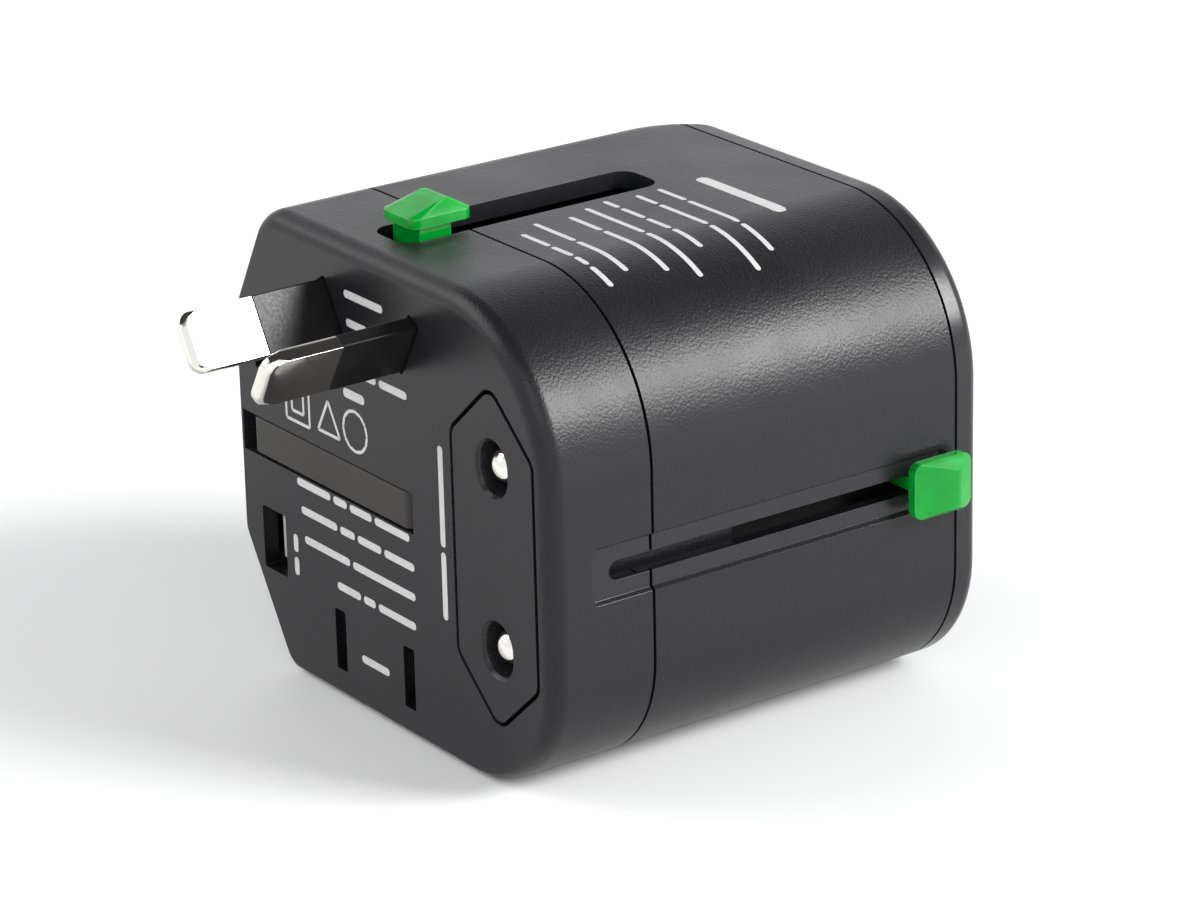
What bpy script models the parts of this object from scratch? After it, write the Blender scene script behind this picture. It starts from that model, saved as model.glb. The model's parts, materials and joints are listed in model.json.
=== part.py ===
"""Universal travel adapter, modelled piece by piece.

The frame: +Z up, the plug face looks towards -Y, the socket face towards +Y, and the origin is
at the middle of the bottom of the object's box. Lengths in this script are millimetres, which
MM turns into metres. A depth is a distance behind the plug face, measured along +Y.
"""
import bmesh
import bpy
import math
from mathutils import Matrix, Vector

MM = 0.001

# Casing
HALF_WIDTH = 28.25
HEIGHT = 50.45
DEPTH = 53.5
WALL = 1.8
SEAM_FRONT = 12.3          # depth of the seam between front cover and body shell
SEAM_REAR = 50.4           # depth of the seam between body shell and rear cover
SEAM_GAP = 0.3
FRONT_FILLET = 2.0
REAR_FILLET = 1.5
LAP_LENGTH = 1.15          # half-lap joint between casing pieces
LAP_OUTER = 0.75
LAP_INNER = 1.05
# Corners of the casing's outline, anticlockwise seen from behind: x, z, corner radius at the front
# seam and at the rear seam, arc steps. Between the seams each radius grows evenly.
CORNERS = (
    (HALF_WIDTH, 0.0, 14.0, 14.0, 8),
    (HALF_WIDTH, HEIGHT, 17.0, 17.0, 9),
    (-21.65, HEIGHT, 4.5, 6.0, 4),
    (-HALF_WIDTH, 38.4, 3.0, 6.0, 3),
    (-HALF_WIDTH, 13.4, 3.0, 6.0, 3),
    (-20.15, 0.0, 3.0, 6.0, 3),
)
# How much of the front fillet each edge of the outline has: bottom, right, top, and the left three
EDGE_SOFTNESS = (0.4, 1.0, 1.0, 0.5, 0.4, 0.4)
# The left-hand side turns in towards the rear face from this depth
TURN_START, TURN_RADIUS = 45.5, 9.0

# Australian blades, in use (extended) at rest
AU_REACH = 17.06           # length outside the plug face
AU_X = (-9.25, 4.45)
AU_Z = 42.65
AU_TILT = math.radians(30.0)
AU_WIDE, AU_THICK = 6.35, 1.63
AU_SLEEVE = 8.4            # insulated length outside the plug face

# Europlug block and its pins
EU_X, EU_Z = 18.9, 24.4
EU_HALF_WIDTH, EU_HALF_HEIGHT, EU_SHOULDER = 6.7, 17.65, 11.65
EU_PIN_PITCH = 19.0
EU_PIN_R = 2.0
EU_BLOCK_LENGTH = 23.9
EU_BLOCK_WALL = 1.2
EU_FACE = 3.0
EU_GROOVE = 0.45

# American blades
US_X, US_Z = -3.45, 6.5
US_PITCH = 12.7
US_WIDE, US_THICK = 6.35, 1.5
US_TIP = 1.2               # depth of the retracted tips

# British line and neutral pins, and the folding earth pin
UK_X, UK_Z = -21.95, 24.8
UK_PITCH = 22.2
UK_WIDE, UK_THICK = 6.35, 4.0
UK_TIP = 2.0
UK_SLEEVE_START = 10.4
EARTH_X = 0.35             # hinge axis, parallel to Z
EARTH_DEPTH = 4.0
EARTH_TIP_X = -25.55
EARTH_END_X = 3.95
EARTH_HALF = 2.0
EARTH_FRONT, EARTH_BACK = 0.1, 8.0
HINGE_R = 1.0

# Slider buttons
BUTTON_LENGTH, BUTTON_HALF = 7.3, 3.0
BUTTON_BASE, BUTTON_RIM, BUTTON_TOP = 1.1, 2.15, 3.5   # heights over the casing's surface
RIDGE_AT, RIDGE_HALF = 4.4, 2.0
SIDE_Z = 24.1
TOP_X = -4.9
STEM_HALF = 0.7
SLOT_HALF = 3.25
AU_BUTTON_FRONT, EU_BUTTON_FRONT, UK_BUTTON_FRONT = 5.6, 43.3, 32.9   # depths
CHANNEL_HALF, CHANNEL_DEPTH, CHANNEL_SLOPE = 3.0, 0.45, 0.7

# Universal socket at the rear
SOCKET_Z = 17.5
SOCKET_EARTH_Z = 39.7
WELL_FLOOR = 34.4
EARTH_WELL_FLOOR = 30.9

# Case screws: x, z
SCREWS = ((20.6, 42.4), (21.3, 6.9), (-14.6, 46.0), (-13.4, 4.2))
BOSS_R = 2.7

# Inner frame, the fuse in it, and the busbars
BUSBAR_X = (-14.2, 8.3)
FRAME_X = (-16.5, 10.5)
FRAME_Z = (12.6, 33.6)
FRAME_DEPTH = (10.9, 32.9)
FRAME_WALL = 1.4
FUSE_X, FUSE_Z, FUSE_R = -3.0, 18.5, 2.6
FUSE_DEPTH = (11.6, 31.6)

FACE_Y = -(DEPTH - AU_REACH) / 2


# ---------------------------------------------------------------- mesh helpers

def y_at(depth):
    """The y coordinate that lies a depth behind the plug face."""
    return FACE_Y + depth


def clear_scene():
    for obj in list(bpy.data.objects):
        bpy.data.objects.remove(obj, do_unlink=True)


def add_object(name, bm, smooth=False):
    """Turns a bmesh in millimetres into an object in metres, with its faces pointing out."""
    bmesh.ops.recalc_face_normals(bm, faces=bm.faces)
    bmesh.ops.scale(bm, vec=(MM, MM, MM), verts=bm.verts)
    mesh = bpy.data.meshes.new(name)
    bm.to_mesh(mesh)
    bm.free()
    if smooth:
        mesh.shade_smooth()
        mesh.set_sharp_from_angle(angle=math.radians(35.0))
    obj = bpy.data.objects.new(name, mesh)
    bpy.context.collection.objects.link(obj)
    return obj


def loft(rings):
    """Joins rings of equal point count into one closed body, capped at both ends."""
    bm = bmesh.new()
    rows = [[bm.verts.new(point) for point in ring] for ring in rings]
    count = len(rows[0])
    for lower, upper in zip(rows, rows[1:]):
        for i in range(count):
            j = (i + 1) % count
            bm.faces.new((lower[i], lower[j], upper[j], upper[i]))
    bm.faces.new(rows[0])
    bm.faces.new(rows[-1])
    return bm


def prism(points, axis, low, high):
    """Extrudes an outline along an axis. The points hold the other two coordinates in order."""
    def place(point, along):
        if axis == "X":
            return (along, point[0], point[1])
        if axis == "Y":
            return (point[0], along, point[1])
        return (point[0], point[1], along)
    return loft([[place(p, low) for p in points], [place(p, high) for p in points]])


def box(x0, x1, d0, d1, z0, z1):
    """A box between two depths behind the plug face."""
    points = [(x0, z0), (x1, z0), (x1, z1), (x0, z1)]
    return prism(points, "Y", y_at(d0), y_at(d1))


def circle(a, b, radius, steps=20):
    turn = 2 * math.pi / steps
    return [(a + radius * math.cos(i * turn), b + radius * math.sin(i * turn)) for i in range(steps)]


def stadium(a0, a1, b, radius, steps=8):
    """An outline with round ends, long in the first coordinate."""
    points = []
    for centre, start in ((a1, -90.0), (a0, 90.0)):
        for i in range(steps + 1):
            angle = math.radians(start + 180.0 * i / steps)
            points.append((centre + radius * math.cos(angle), b + radius * math.sin(angle)))
    return points


def swap(points):
    return [(b, a) for a, b in points]


def hull(points):
    bm = bmesh.new()
    for point in points:
        bm.verts.new(point)
    result = bmesh.ops.convex_hull(bm, input=bm.verts)
    spare = {v for v in result["geom_interior"] + result["geom_unused"]
             if isinstance(v, bmesh.types.BMVert)}
    bmesh.ops.delete(bm, geom=list(spare), context="VERTS")
    return bm


def spin_y(bm, centre_x, centre_z, angle):
    """Turns a body about an axis parallel to Y; a positive angle leans its top towards -X."""
    pivot = Vector((centre_x, 0.0, centre_z))
    bmesh.ops.rotate(bm, cent=pivot, matrix=Matrix.Rotation(-angle, 3, "Y"), verts=bm.verts)
    return bm


def combine(obj, bm, operation):
    """Adds a Boolean that joins a body to an object, or cuts it away."""
    tool = add_object(f"{obj.name}_{operation.lower()}_{len(obj.modifiers)}", bm)
    tool.hide_render = True
    tool.display_type = "WIRE"
    modifier = obj.modifiers.new(tool.name, "BOOLEAN")
    modifier.operation = operation
    modifier.solver = "EXACT"
    modifier.object = tool


def cut(obj, *bodies):
    for bm in bodies:
        combine(obj, bm, "DIFFERENCE")


def join(obj, *bodies):
    for bm in bodies:
        combine(obj, bm, "UNION")


# ---------------------------------------------------------------- outlines

def left_turn(depth):
    """How far the left-hand side has turned in towards the rear face at a depth."""
    past = max(depth - TURN_START, 0.0)
    return TURN_RADIUS - math.sqrt(TURN_RADIUS ** 2 - past ** 2)


def turn_rings(inset, end, steps):
    """Rings along the stretch where the left-hand side turns in, front to rear."""
    return [casing_ring(inset, TURN_START + (end - TURN_START) * k / steps) for k in range(steps + 1)]


def casing_ring(inset, depth, softness=0.0):
    """The casing's outline at a depth, moved inwards, each corner rounded about the same centre."""
    grown = min(max((depth - SEAM_FRONT) / (SEAM_REAR - SEAM_FRONT), 0.0), 1.0)
    count = len(CORNERS)
    places = [Vector((x + left_turn(depth) * (x < 0), z)) for x, z, *_ in CORNERS]
    insets = [inset + softness * share for share in EDGE_SOFTNESS]
    points = []
    for i, (_, _, front_radius, rear_radius, steps) in enumerate(CORNERS):
        inset_in, inset_out = insets[i], insets[(i + 1) % count]
        radius = front_radius + (rear_radius - front_radius) * grown
        arc = max(radius - (inset_in + inset_out) / 2, 0.5)
        into = (places[i] - places[i - 1]).normalized()
        out = (places[(i + 1) % count] - places[i]).normalized()
        normal_in = Vector((-into.y, into.x))
        normal_out = Vector((-out.y, out.x))
        cosine = normal_in.dot(normal_out)
        reach_in, reach_out = inset_in + arc, inset_out + arc
        centre = places[i] + normal_in * ((reach_in - reach_out * cosine) / (1 - cosine * cosine))
        centre += normal_out * ((reach_out - reach_in * cosine) / (1 - cosine * cosine))
        start = math.atan2(-normal_in.y, -normal_in.x)
        sweep = -normal_in.angle_signed(normal_out)
        for k in range(steps + 1):
            angle = start + sweep * k / steps
            points.append((centre.x + arc * math.cos(angle), y_at(depth), centre.y + arc * math.sin(angle)))
    return points


def hexagon(offset=0.0):
    """The europlug's flattened hexagon, grown by an offset on every side."""
    rise = EU_HALF_HEIGHT - EU_SHOULDER
    slope = math.hypot(rise, EU_HALF_WIDTH)
    half_width = EU_HALF_WIDTH + offset
    half_height = EU_HALF_HEIGHT + offset * slope / EU_HALF_WIDTH
    shoulder = half_height - half_width * rise / EU_HALF_WIDTH
    corners = ((1, -shoulder), (1, shoulder), (0, half_height), (-1, shoulder), (-1, -shoulder),
               (0, -half_height))
    return round_corners([(EU_X + side * half_width, EU_Z + z) for side, z in corners], 1.6 + offset)


def round_corners(corners, radius, steps=3):
    """Rounds each corner of an anticlockwise outline."""
    points = []
    count = len(corners)
    for i, corner in enumerate(corners):
        here = Vector(corner)
        into = (here - Vector(corners[i - 1])).normalized()
        out = (Vector(corners[(i + 1) % count]) - here).normalized()
        normal_in = Vector((-into.y, into.x))
        normal_out = Vector((-out.y, out.x))
        bisector = (normal_in + normal_out).normalized()
        centre = here + bisector * (radius / bisector.dot(normal_in))
        start = math.atan2(-normal_in.y, -normal_in.x)
        sweep = -normal_in.angle_signed(normal_out)
        for k in range(steps + 1):
            angle = start + sweep * k / steps
            points.append((centre.x + radius * math.cos(angle), centre.y + radius * math.sin(angle)))
    return points


def rectangle(a, b, half_a, half_b):
    return [(a - half_a, b - half_b), (a + half_a, b - half_b),
            (a + half_a, b + half_b), (a - half_a, b + half_b)]


def blade_slot(centre_x, centre_z, half_thick, half_wide, angle, d0, d1):
    """A through cutter for a flat blade that stands upright before it is leant over."""
    bm = prism(rectangle(centre_x, centre_z, half_thick, half_wide), "Y", y_at(d0), y_at(d1))
    return spin_y(bm, centre_x, centre_z, angle)


# ---------------------------------------------------------------- casing

def side_channel(side, d0, d1):
    """The shallow trough that a side button travels over, with sloping walls."""
    over = 1.0
    floor, top = side * (HALF_WIDTH - CHANNEL_DEPTH), side * (HALF_WIDTH + over)
    floor_half = CHANNEL_HALF - CHANNEL_SLOPE * CHANNEL_DEPTH
    top_half = CHANNEL_HALF + CHANNEL_SLOPE * over
    outline = [(floor, SIDE_Z - floor_half), (top, SIDE_Z - top_half), (top, SIDE_Z + top_half),
               (floor, SIDE_Z + floor_half)]
    return prism(outline, "Y", y_at(d0), y_at(d1))


def side_slot(side, d0, d1):
    """The narrow slot in a side channel's floor that the button's stem passes through."""
    radius = 1.0
    outline = stadium(y_at(d0) + radius, y_at(d1) - radius, SIDE_Z, radius)
    low, high = sorted((side * (HALF_WIDTH - 3.0), side * (HALF_WIDTH + 1.0)))
    return prism(outline, "X", low, high)


def wide_slot(x, d0, d1, corner_radius, z0, z1):
    """The slot that the top button's or the bottom button's stem passes through."""
    outline = rectangle(x, y_at((d0 + d1) / 2), SLOT_HALF, (d1 - d0) / 2)
    return prism(round_corners(outline, corner_radius), "Z", z0, z1)


def top_slot(d0, d1):
    return wide_slot(TOP_X, d0, d1, 2.0, HEIGHT - 3.0, HEIGHT + 1.0)


def bottom_slot(d0, d1):
    return wide_slot(US_X, d0, d1, 1.0, -1.0, 3.0)


def make_front_cover():
    rings = []
    steps = 4
    for k in range(steps + 1):
        angle = math.radians(90.0 * k / steps)
        depth = FRONT_FILLET * (1 - math.cos(angle))
        rings.append(casing_ring(0.0, depth, FRONT_FILLET * (1 - math.sin(angle))))
    rear = SEAM_FRONT - SEAM_GAP / 2
    rings.append(casing_ring(0.0, rear))
    rings.append(casing_ring(LAP_OUTER, rear))
    rings.append(casing_ring(LAP_OUTER, rear - LAP_LENGTH - SEAM_GAP))
    rings.append(casing_ring(WALL, rear - LAP_LENGTH - SEAM_GAP))
    rings.append(casing_ring(WALL, WALL))
    cover = add_object("front_cover", loft(rings), smooth=True)

    # The trough that the folded earth pin lies in, deeper where its heel turns
    trough_half, shallow, deep = 3.55, 9.8, 10.6
    join(cover,
         box(-27.5, 7.05, 1.0, shallow, UK_Z - trough_half, UK_Z + trough_half),
         box(-6.5, 7.05, 1.0, deep, UK_Z - trough_half, UK_Z + trough_half))
    slit = EARTH_HALF + 0.2
    cut(cover,
        box(EARTH_TIP_X - 1.65, EARTH_END_X + 0.67, -1.0, 1.1, UK_Z - slit, UK_Z + slit),
        box(EARTH_TIP_X - 1.65, EARTH_END_X + 1.9, 0.9, 8.5, UK_Z - slit, UK_Z + slit),
        box(-5.6, EARTH_END_X + 1.9, 0.9, 9.3, UK_Z - slit, UK_Z + slit))
    hinge_bore = circle(EARTH_X, y_at(EARTH_DEPTH), HINGE_R + 0.05, 24)
    cut(cover, prism(hinge_bore, "Z", UK_Z - trough_half - 0.5, UK_Z + trough_half + 0.5))

    cut(cover, prism(hexagon(EU_GROOVE), "Y", y_at(-1.0), y_at(WALL + 1.0)))
    for side in (-1, 1):
        x = US_X + side * US_PITCH / 2
        cut(cover, box(x - 0.95, x + 0.95, -1.0, 3.0, US_Z - 3.35, US_Z + 3.35))
        z = UK_Z + side * UK_PITCH / 2
        cut(cover, box(UK_X - 2.2, UK_X + 2.2, -1.0, 3.0, z - 3.45, z + 3.45))
    for x, lean in zip(AU_X, (1, -1)):
        half_thick, half_wide = AU_THICK / 2 + 0.2, AU_WIDE / 2 + 0.2
        cut(cover, blade_slot(x, AU_Z, half_thick, half_wide, lean * AU_TILT, -1.0, 3.0))

    cut(cover, side_channel(1, 5.1, SEAM_FRONT + 1.0))
    cut(cover, side_slot(1, 7.3, SEAM_FRONT + 5.0))
    cut(cover, top_slot(4.4, SEAM_FRONT + 8.0))
    cut(cover, bottom_slot(7.1, SEAM_FRONT + 5.0))
    return cover


def make_body_shell():
    front = SEAM_FRONT + SEAM_GAP / 2
    rear = SEAM_REAR - SEAM_GAP / 2
    turn_steps = 3
    rings = [casing_ring(0.0, front)] + turn_rings(0.0, rear, turn_steps)
    rings += [casing_ring(LAP_OUTER, rear), casing_ring(LAP_OUTER, rear - LAP_LENGTH)]
    rings += reversed(turn_rings(WALL, rear - LAP_LENGTH, turn_steps))
    rings += [casing_ring(WALL, front - LAP_LENGTH - SEAM_GAP),
              casing_ring(LAP_INNER, front - LAP_LENGTH - SEAM_GAP), casing_ring(LAP_INNER, front)]
    bm = bmesh.new()
    rows = [[bm.verts.new(point) for point in ring] for ring in rings]
    count = len(rows[0])
    for k, row in enumerate(rows):
        other = rows[(k + 1) % len(rows)]
        for i in range(count):
            j = (i + 1) % count
            bm.faces.new((row[i], row[j], other[j], other[i]))
    shell = add_object("body_shell", bm, smooth=True)

    boss_front, boss_rear = 38.0, 48.3
    for x, z in SCREWS:
        join(shell, prism(circle(x, z, BOSS_R, 16), "Y", y_at(boss_front), y_at(boss_rear)))
    for x, z in SCREWS:
        cut(shell, prism(circle(x, z, 1.05, 12), "Y", y_at(boss_front + 1.6), y_at(boss_rear + 1.0)))

    cut(shell, side_channel(1, 5.0, SEAM_REAR - 1.4))
    cut(shell, side_slot(1, 5.0, 48.4))
    cut(shell, side_channel(-1, 12.0, 40.0))
    cut(shell, side_slot(-1, 13.1, 37.9))
    cut(shell, top_slot(5.0, 36.2))
    cut(shell, bottom_slot(5.0, 32.8))
    return shell


def make_rear_cover():
    front = SEAM_REAR + SEAM_GAP / 2
    lip = front - LAP_LENGTH + 0.1
    rings = [
        casing_ring(WALL, front),
        casing_ring(WALL, lip),
        casing_ring(LAP_INNER, lip),
        casing_ring(LAP_INNER, front),
        casing_ring(0.0, front),
    ]
    steps = 3
    for k in range(steps + 1):
        angle = math.radians(90.0 * k / steps)
        rings.append(casing_ring(REAR_FILLET * (1 - math.cos(angle)),
                                 DEPTH - REAR_FILLET * (1 - math.sin(angle))))
    cover = add_object("rear_cover", loft(rings), smooth=True)

    through = (y_at(SEAM_REAR - 1.0), y_at(DEPTH + 1.0))
    for side in (-1, 1):
        cut(cover, prism(rectangle(side * 11.1, SOCKET_Z, 3.5, 2.3), "Y", *through))
        cut(cover, prism(circle(side * 9.5, SOCKET_Z, 2.6, 20), "Y", *through))
        cut(cover, prism(rectangle(side * 6.35, SOCKET_Z, 1.0, 3.7), "Y", *through))
        slanted = side * AU_TILT
        cut(cover, blade_slot(side * 6.9, SOCKET_Z, 1.0, 3.6, slanted, SEAM_REAR - 1.0, DEPTH + 1.0))
    cut(cover, prism(rectangle(0.0, SOCKET_EARTH_Z, 2.4, 4.4), "Y", *through))
    for x, z in SCREWS:
        cut(cover, prism(circle(x, z, 1.25, 12), "Y", *through))
        cut(cover, prism(circle(x, z, 2.3, 20), "Y", y_at(DEPTH - 1.5), y_at(DEPTH + 1.0)))
    return cover


# ---------------------------------------------------------------- inner structure

def make_socket_block():
    """Holds the contact wells. Its flange is clamped under the rear cover by the case screws."""
    flange_front, flange_rear = 48.6, SEAM_REAR - SEAM_GAP / 2
    rings = [casing_ring(WALL + 0.4, flange_front), casing_ring(WALL + 0.4, flange_rear)]
    block = add_object("socket_block", loft(rings))
    join(block,
         box(-17.0, 17.0, 33.2, flange_front + 0.5, SOCKET_Z - 6.3, SOCKET_Z + 6.3),
         box(-3.8, 3.8, 33.2, flange_front + 0.5, SOCKET_Z + 5.0, SOCKET_EARTH_Z + 5.6),
         box(-3.8, 3.8, EARTH_WELL_FLOOR - 1.1, 34.0, SOCKET_EARTH_Z - 5.7, SOCKET_EARTH_Z + 5.6))
    for side in (-1, 1):
        inner, outer = sorted((side * 4.0, side * 15.2))
        cut(block, box(inner, outer, WELL_FLOOR, 52.0, SOCKET_Z - 4.4, SOCKET_Z + 4.4))
    cut(block, box(-2.6, 2.6, EARTH_WELL_FLOOR, 52.0, SOCKET_EARTH_Z - 4.6, SOCKET_EARTH_Z + 4.6))
    for x in BUSBAR_X:
        cut(block, box(x - 0.6, x + 0.6, 32.0, WELL_FLOOR + 1.0, SOCKET_Z - 3.3, SOCKET_Z + 3.3))
    for x, z in SCREWS:
        cut(block, prism(circle(x, z, 1.25, 12), "Y", y_at(48.0), y_at(52.0)))
    return block


def make_inner_frame():
    """A square tube in the middle that the four carriers slide past; it holds fuse and busbars."""
    (x0, x1), (z0, z1), (d0, d1) = FRAME_X, FRAME_Z, FRAME_DEPTH
    frame = add_object("inner_frame", box(x0, x1, d0, d1, z0, z1))
    wall = FRAME_WALL
    cut(frame, box(x0 + wall, x1 - wall, d0 - 1.0, d1 + 1.0, z0 + wall, z1 - wall))
    return frame


def make_busbar(name, x):
    bar = box(x - 0.4, x + 0.4, 12.0, WELL_FLOOR + 0.2, SOCKET_Z - 3.0, SOCKET_Z + 3.0)
    return add_object(name, bar)


def make_contact(name, side):
    """A sprung brass channel: a base at the well's floor and two leaves bowed towards the pin."""
    thick = 0.6
    floor = WELL_FLOOR + 0.5
    outer = ((3.9, floor), (3.9, 41.0), (3.35, 44.0), (3.9, 47.0))
    upper = [(z, depth) for z, depth in outer]
    lower = [(z - thick, depth) for z, depth in reversed(outer[1:])]
    right = upper + lower + [(3.9 - thick, floor + thick)]
    left = [(-z, depth) for z, depth in reversed(right)]
    outline = [(y_at(depth), SOCKET_Z + z) for z, depth in right + left]
    low, high = sorted((side * 4.5, side * 14.8))
    return add_object(name, prism(outline, "X", low, high))


def make_fuse():
    d0, d1 = FUSE_DEPTH
    cap = 5.0
    rings = []
    for depth, radius in ((d0, FUSE_R), (d0 + cap, FUSE_R), (d0 + cap, FUSE_R - 0.25),
                          (d1 - cap, FUSE_R - 0.25), (d1 - cap, FUSE_R), (d1, FUSE_R)):
        rings.append([(x, y_at(depth), z) for x, z in circle(FUSE_X, FUSE_Z, radius, 16)])
    return add_object("fuse", loft(rings), smooth=True)


def make_fuse_clip(name, d0):
    """A sheet-metal saddle under the fuse with two upright cheeks."""
    gap, thick = 0.25, 0.5
    half = FUSE_R + gap
    foot = FRAME_Z[0] + FRAME_WALL + 0.3
    outer = half + thick
    clip = add_object(name, box(FUSE_X - outer, FUSE_X + outer, d0, d0 + 4.0, foot, FUSE_Z + 1.6))
    cut(clip, box(FUSE_X - half, FUSE_X + half, d0 - 1.0, d0 + 5.0, foot + thick, FUSE_Z + 3.0))
    return clip


def make_case_screw(name, x, z):
    head_top = DEPTH - 0.2
    profile = ((40.2, 0.5), (40.8, 0.9), (51.9, 0.9), (52.25, 1.95), (head_top - 0.2, 1.95),
               (head_top, 1.7))
    rings = [[(px, y_at(depth), pz) for px, pz in circle(x, z, radius, 16)] for depth, radius in profile]
    screw = add_object(name, loft(rings), smooth=True)
    cut(screw,
        box(x - 1.1, x + 1.1, head_top - 0.5, DEPTH + 1.0, z - 0.28, z + 0.28),
        box(x - 0.28, x + 0.28, head_top - 0.5, DEPTH + 1.0, z - 1.1, z + 1.1))
    return screw


# ---------------------------------------------------------------- sliders

def button_points(length, half, base, rim, top):
    """A hipped button on a thin rim: along the slide, across it, and height over the casing."""
    radius = 1.1
    outline = round_corners([(0.0, -half), (length, -half), (length, half), (0.0, half)], radius)
    points = [(u, v, base) for u, v in outline] + [(u, v, rim) for u, v in outline]
    for v in (-RIDGE_HALF, RIDGE_HALF):
        points.append((RIDGE_AT, v, top))
        points.append((RIDGE_AT + 0.5, v, top))
    return points


def make_slider_button(name, place, stem, tongue):
    """A green button. place turns (along, across, height) into x, y, z."""
    points = button_points(BUTTON_LENGTH, BUTTON_HALF, BUTTON_BASE, BUTTON_RIM, BUTTON_TOP)
    button = add_object(name, hull([place(p) for p in points]))
    join(button, stem, tongue)
    return button


def make_au_slider():
    carrier = add_object("au_carrier", box(-13.2, 8.6, 2.4, 6.4, 38.2, 47.6))
    join(carrier, box(-8.1, -4.2, 6.0, 10.6, 45.0, 47.6))
    cut(carrier, box(-7.2, -4.9, 7.5, 9.9, 45.8, 49.0))
    for x, lean in zip(AU_X, (1, -1)):
        cut(carrier, blade_slot(x, AU_Z, 0.45, 2.75, lean * AU_TILT, 1.0, 8.0))

    def place(point):
        along, across, height = point
        return (TOP_X + across, y_at(AU_BUTTON_FRONT + along), HEIGHT + height)

    stem = box(-7.5, -2.6, 6.8, 10.6, 47.9, HEIGHT + BUTTON_BASE + 0.3)
    tongue = box(-6.9, -5.2, 7.8, 9.6, 46.1, 48.2)
    button = make_slider_button("au_slider_button", place, stem, tongue)
    return [carrier, button]


def blade_hull(x, z, tip, root, wide, thick, bevel):
    """A flat blade standing upright, its tip chamfered on all four sides."""
    points = []
    for depth, half_x, half_z in ((tip, thick / 2 - 0.45, wide / 2 - bevel),
                                  (tip + bevel, thick / 2, wide / 2), (root, thick / 2, wide / 2)):
        for px, pz in rectangle(x, z, half_x, half_z):
            points.append((px, y_at(depth), pz))
    return hull(points)


def make_au_blades():
    pieces = []
    for label, x, lean in (("left", AU_X[0], 1), ("right", AU_X[1], -1)):
        angle = lean * AU_TILT
        body = blade_hull(x, AU_Z, -AU_REACH, -AU_SLEEVE - 0.1, AU_WIDE, AU_THICK, 1.1)
        blade = add_object(f"au_blade_{label}", spin_y(body, x, AU_Z, angle))
        core = prism(rectangle(x, AU_Z, 0.3, 2.6), "Y", y_at(-AU_SLEEVE - 1.0), y_at(6.0))
        join(blade, spin_y(core, x, AU_Z, angle))
        outer = prism(rectangle(x, AU_Z, AU_THICK / 2, AU_WIDE / 2), "Y", y_at(-AU_SLEEVE), y_at(2.2))
        sleeve = add_object(f"au_sleeve_{label}", spin_y(outer, x, AU_Z, angle))
        bore = prism(rectangle(x, AU_Z, 0.4, 2.7), "Y", y_at(-AU_SLEEVE - 1.0), y_at(3.0))
        cut(sleeve, spin_y(bore, x, AU_Z, angle))
        pieces += [blade, sleeve]
    return pieces


def make_eu_block():
    rings = [[(x, y_at(depth), z) for x, z in hexagon(offset)]
             for depth, offset in ((0.0, -0.25), (0.25, 0.0), (EU_BLOCK_LENGTH, 0.0))]
    block = add_object("eu_plug_block", loft(rings), smooth=True)

    # Ears above and below stop the block behind the front cover
    ear_half, ear_reach = 2.3, EU_HALF_HEIGHT + 1.15
    join(block, box(EU_X - ear_half, EU_X + ear_half, EU_BLOCK_LENGTH - 2.5, EU_BLOCK_LENGTH,
                    EU_Z - ear_reach, EU_Z + ear_reach))
    cut(block, prism(hexagon(-EU_BLOCK_WALL), "Y", y_at(EU_FACE), y_at(EU_BLOCK_LENGTH + 1.0)))
    stretch = 0.4
    for z in eu_pin_heights():
        hole = swap(stadium(z - stretch, z + stretch, EU_X, 2.4))
        cut(block, prism(hole, "Y", y_at(-1.0), y_at(EU_FACE + 1.0)))
        rim = []
        for depth, radius in ((-0.2, 2.95), (0.55, 2.3)):
            outline = swap(stadium(z - stretch, z + stretch, EU_X, radius))
            rim.append([(x, y_at(depth), pz) for x, pz in outline])
        cut(block, loft(rim))
    return block


def eu_pin_heights():
    return (EU_Z + EU_PIN_PITCH / 2, EU_Z - EU_PIN_PITCH / 2)


def make_eu_pins():
    pieces = []
    tip, sleeve_start, sleeve_end, tail = 0.3, 10.8, 22.8, 25.7
    core = 1.3
    for label, z in zip(("upper", "lower"), eu_pin_heights()):
        rings = []
        for k in range(4):
            angle = math.radians(15.0 + 75.0 * k / 3)
            depth = tip + EU_PIN_R * (1 - math.cos(angle))
            rings.append((depth, EU_PIN_R * math.sin(angle)))
        rings += [(sleeve_start - 0.1, EU_PIN_R), (sleeve_start - 0.1, core), (tail, core)]
        outlines = [[(x, y_at(depth), pz) for x, pz in circle(EU_X, z, radius)] for depth, radius in rings]
        pieces.append(add_object(f"eu_pin_{label}", loft(outlines), smooth=True))
        tube = prism(circle(EU_X, z, 1.9, 16), "Y", y_at(sleeve_start), y_at(sleeve_end))
        sleeve = add_object(f"eu_sleeve_{label}", tube, smooth=True)
        bore = circle(EU_X, z, core + 0.12, 16)
        cut(sleeve, prism(bore, "Y", y_at(sleeve_start - 1), y_at(sleeve_end + 1)))
        pieces.append(sleeve)
    return pieces


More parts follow.
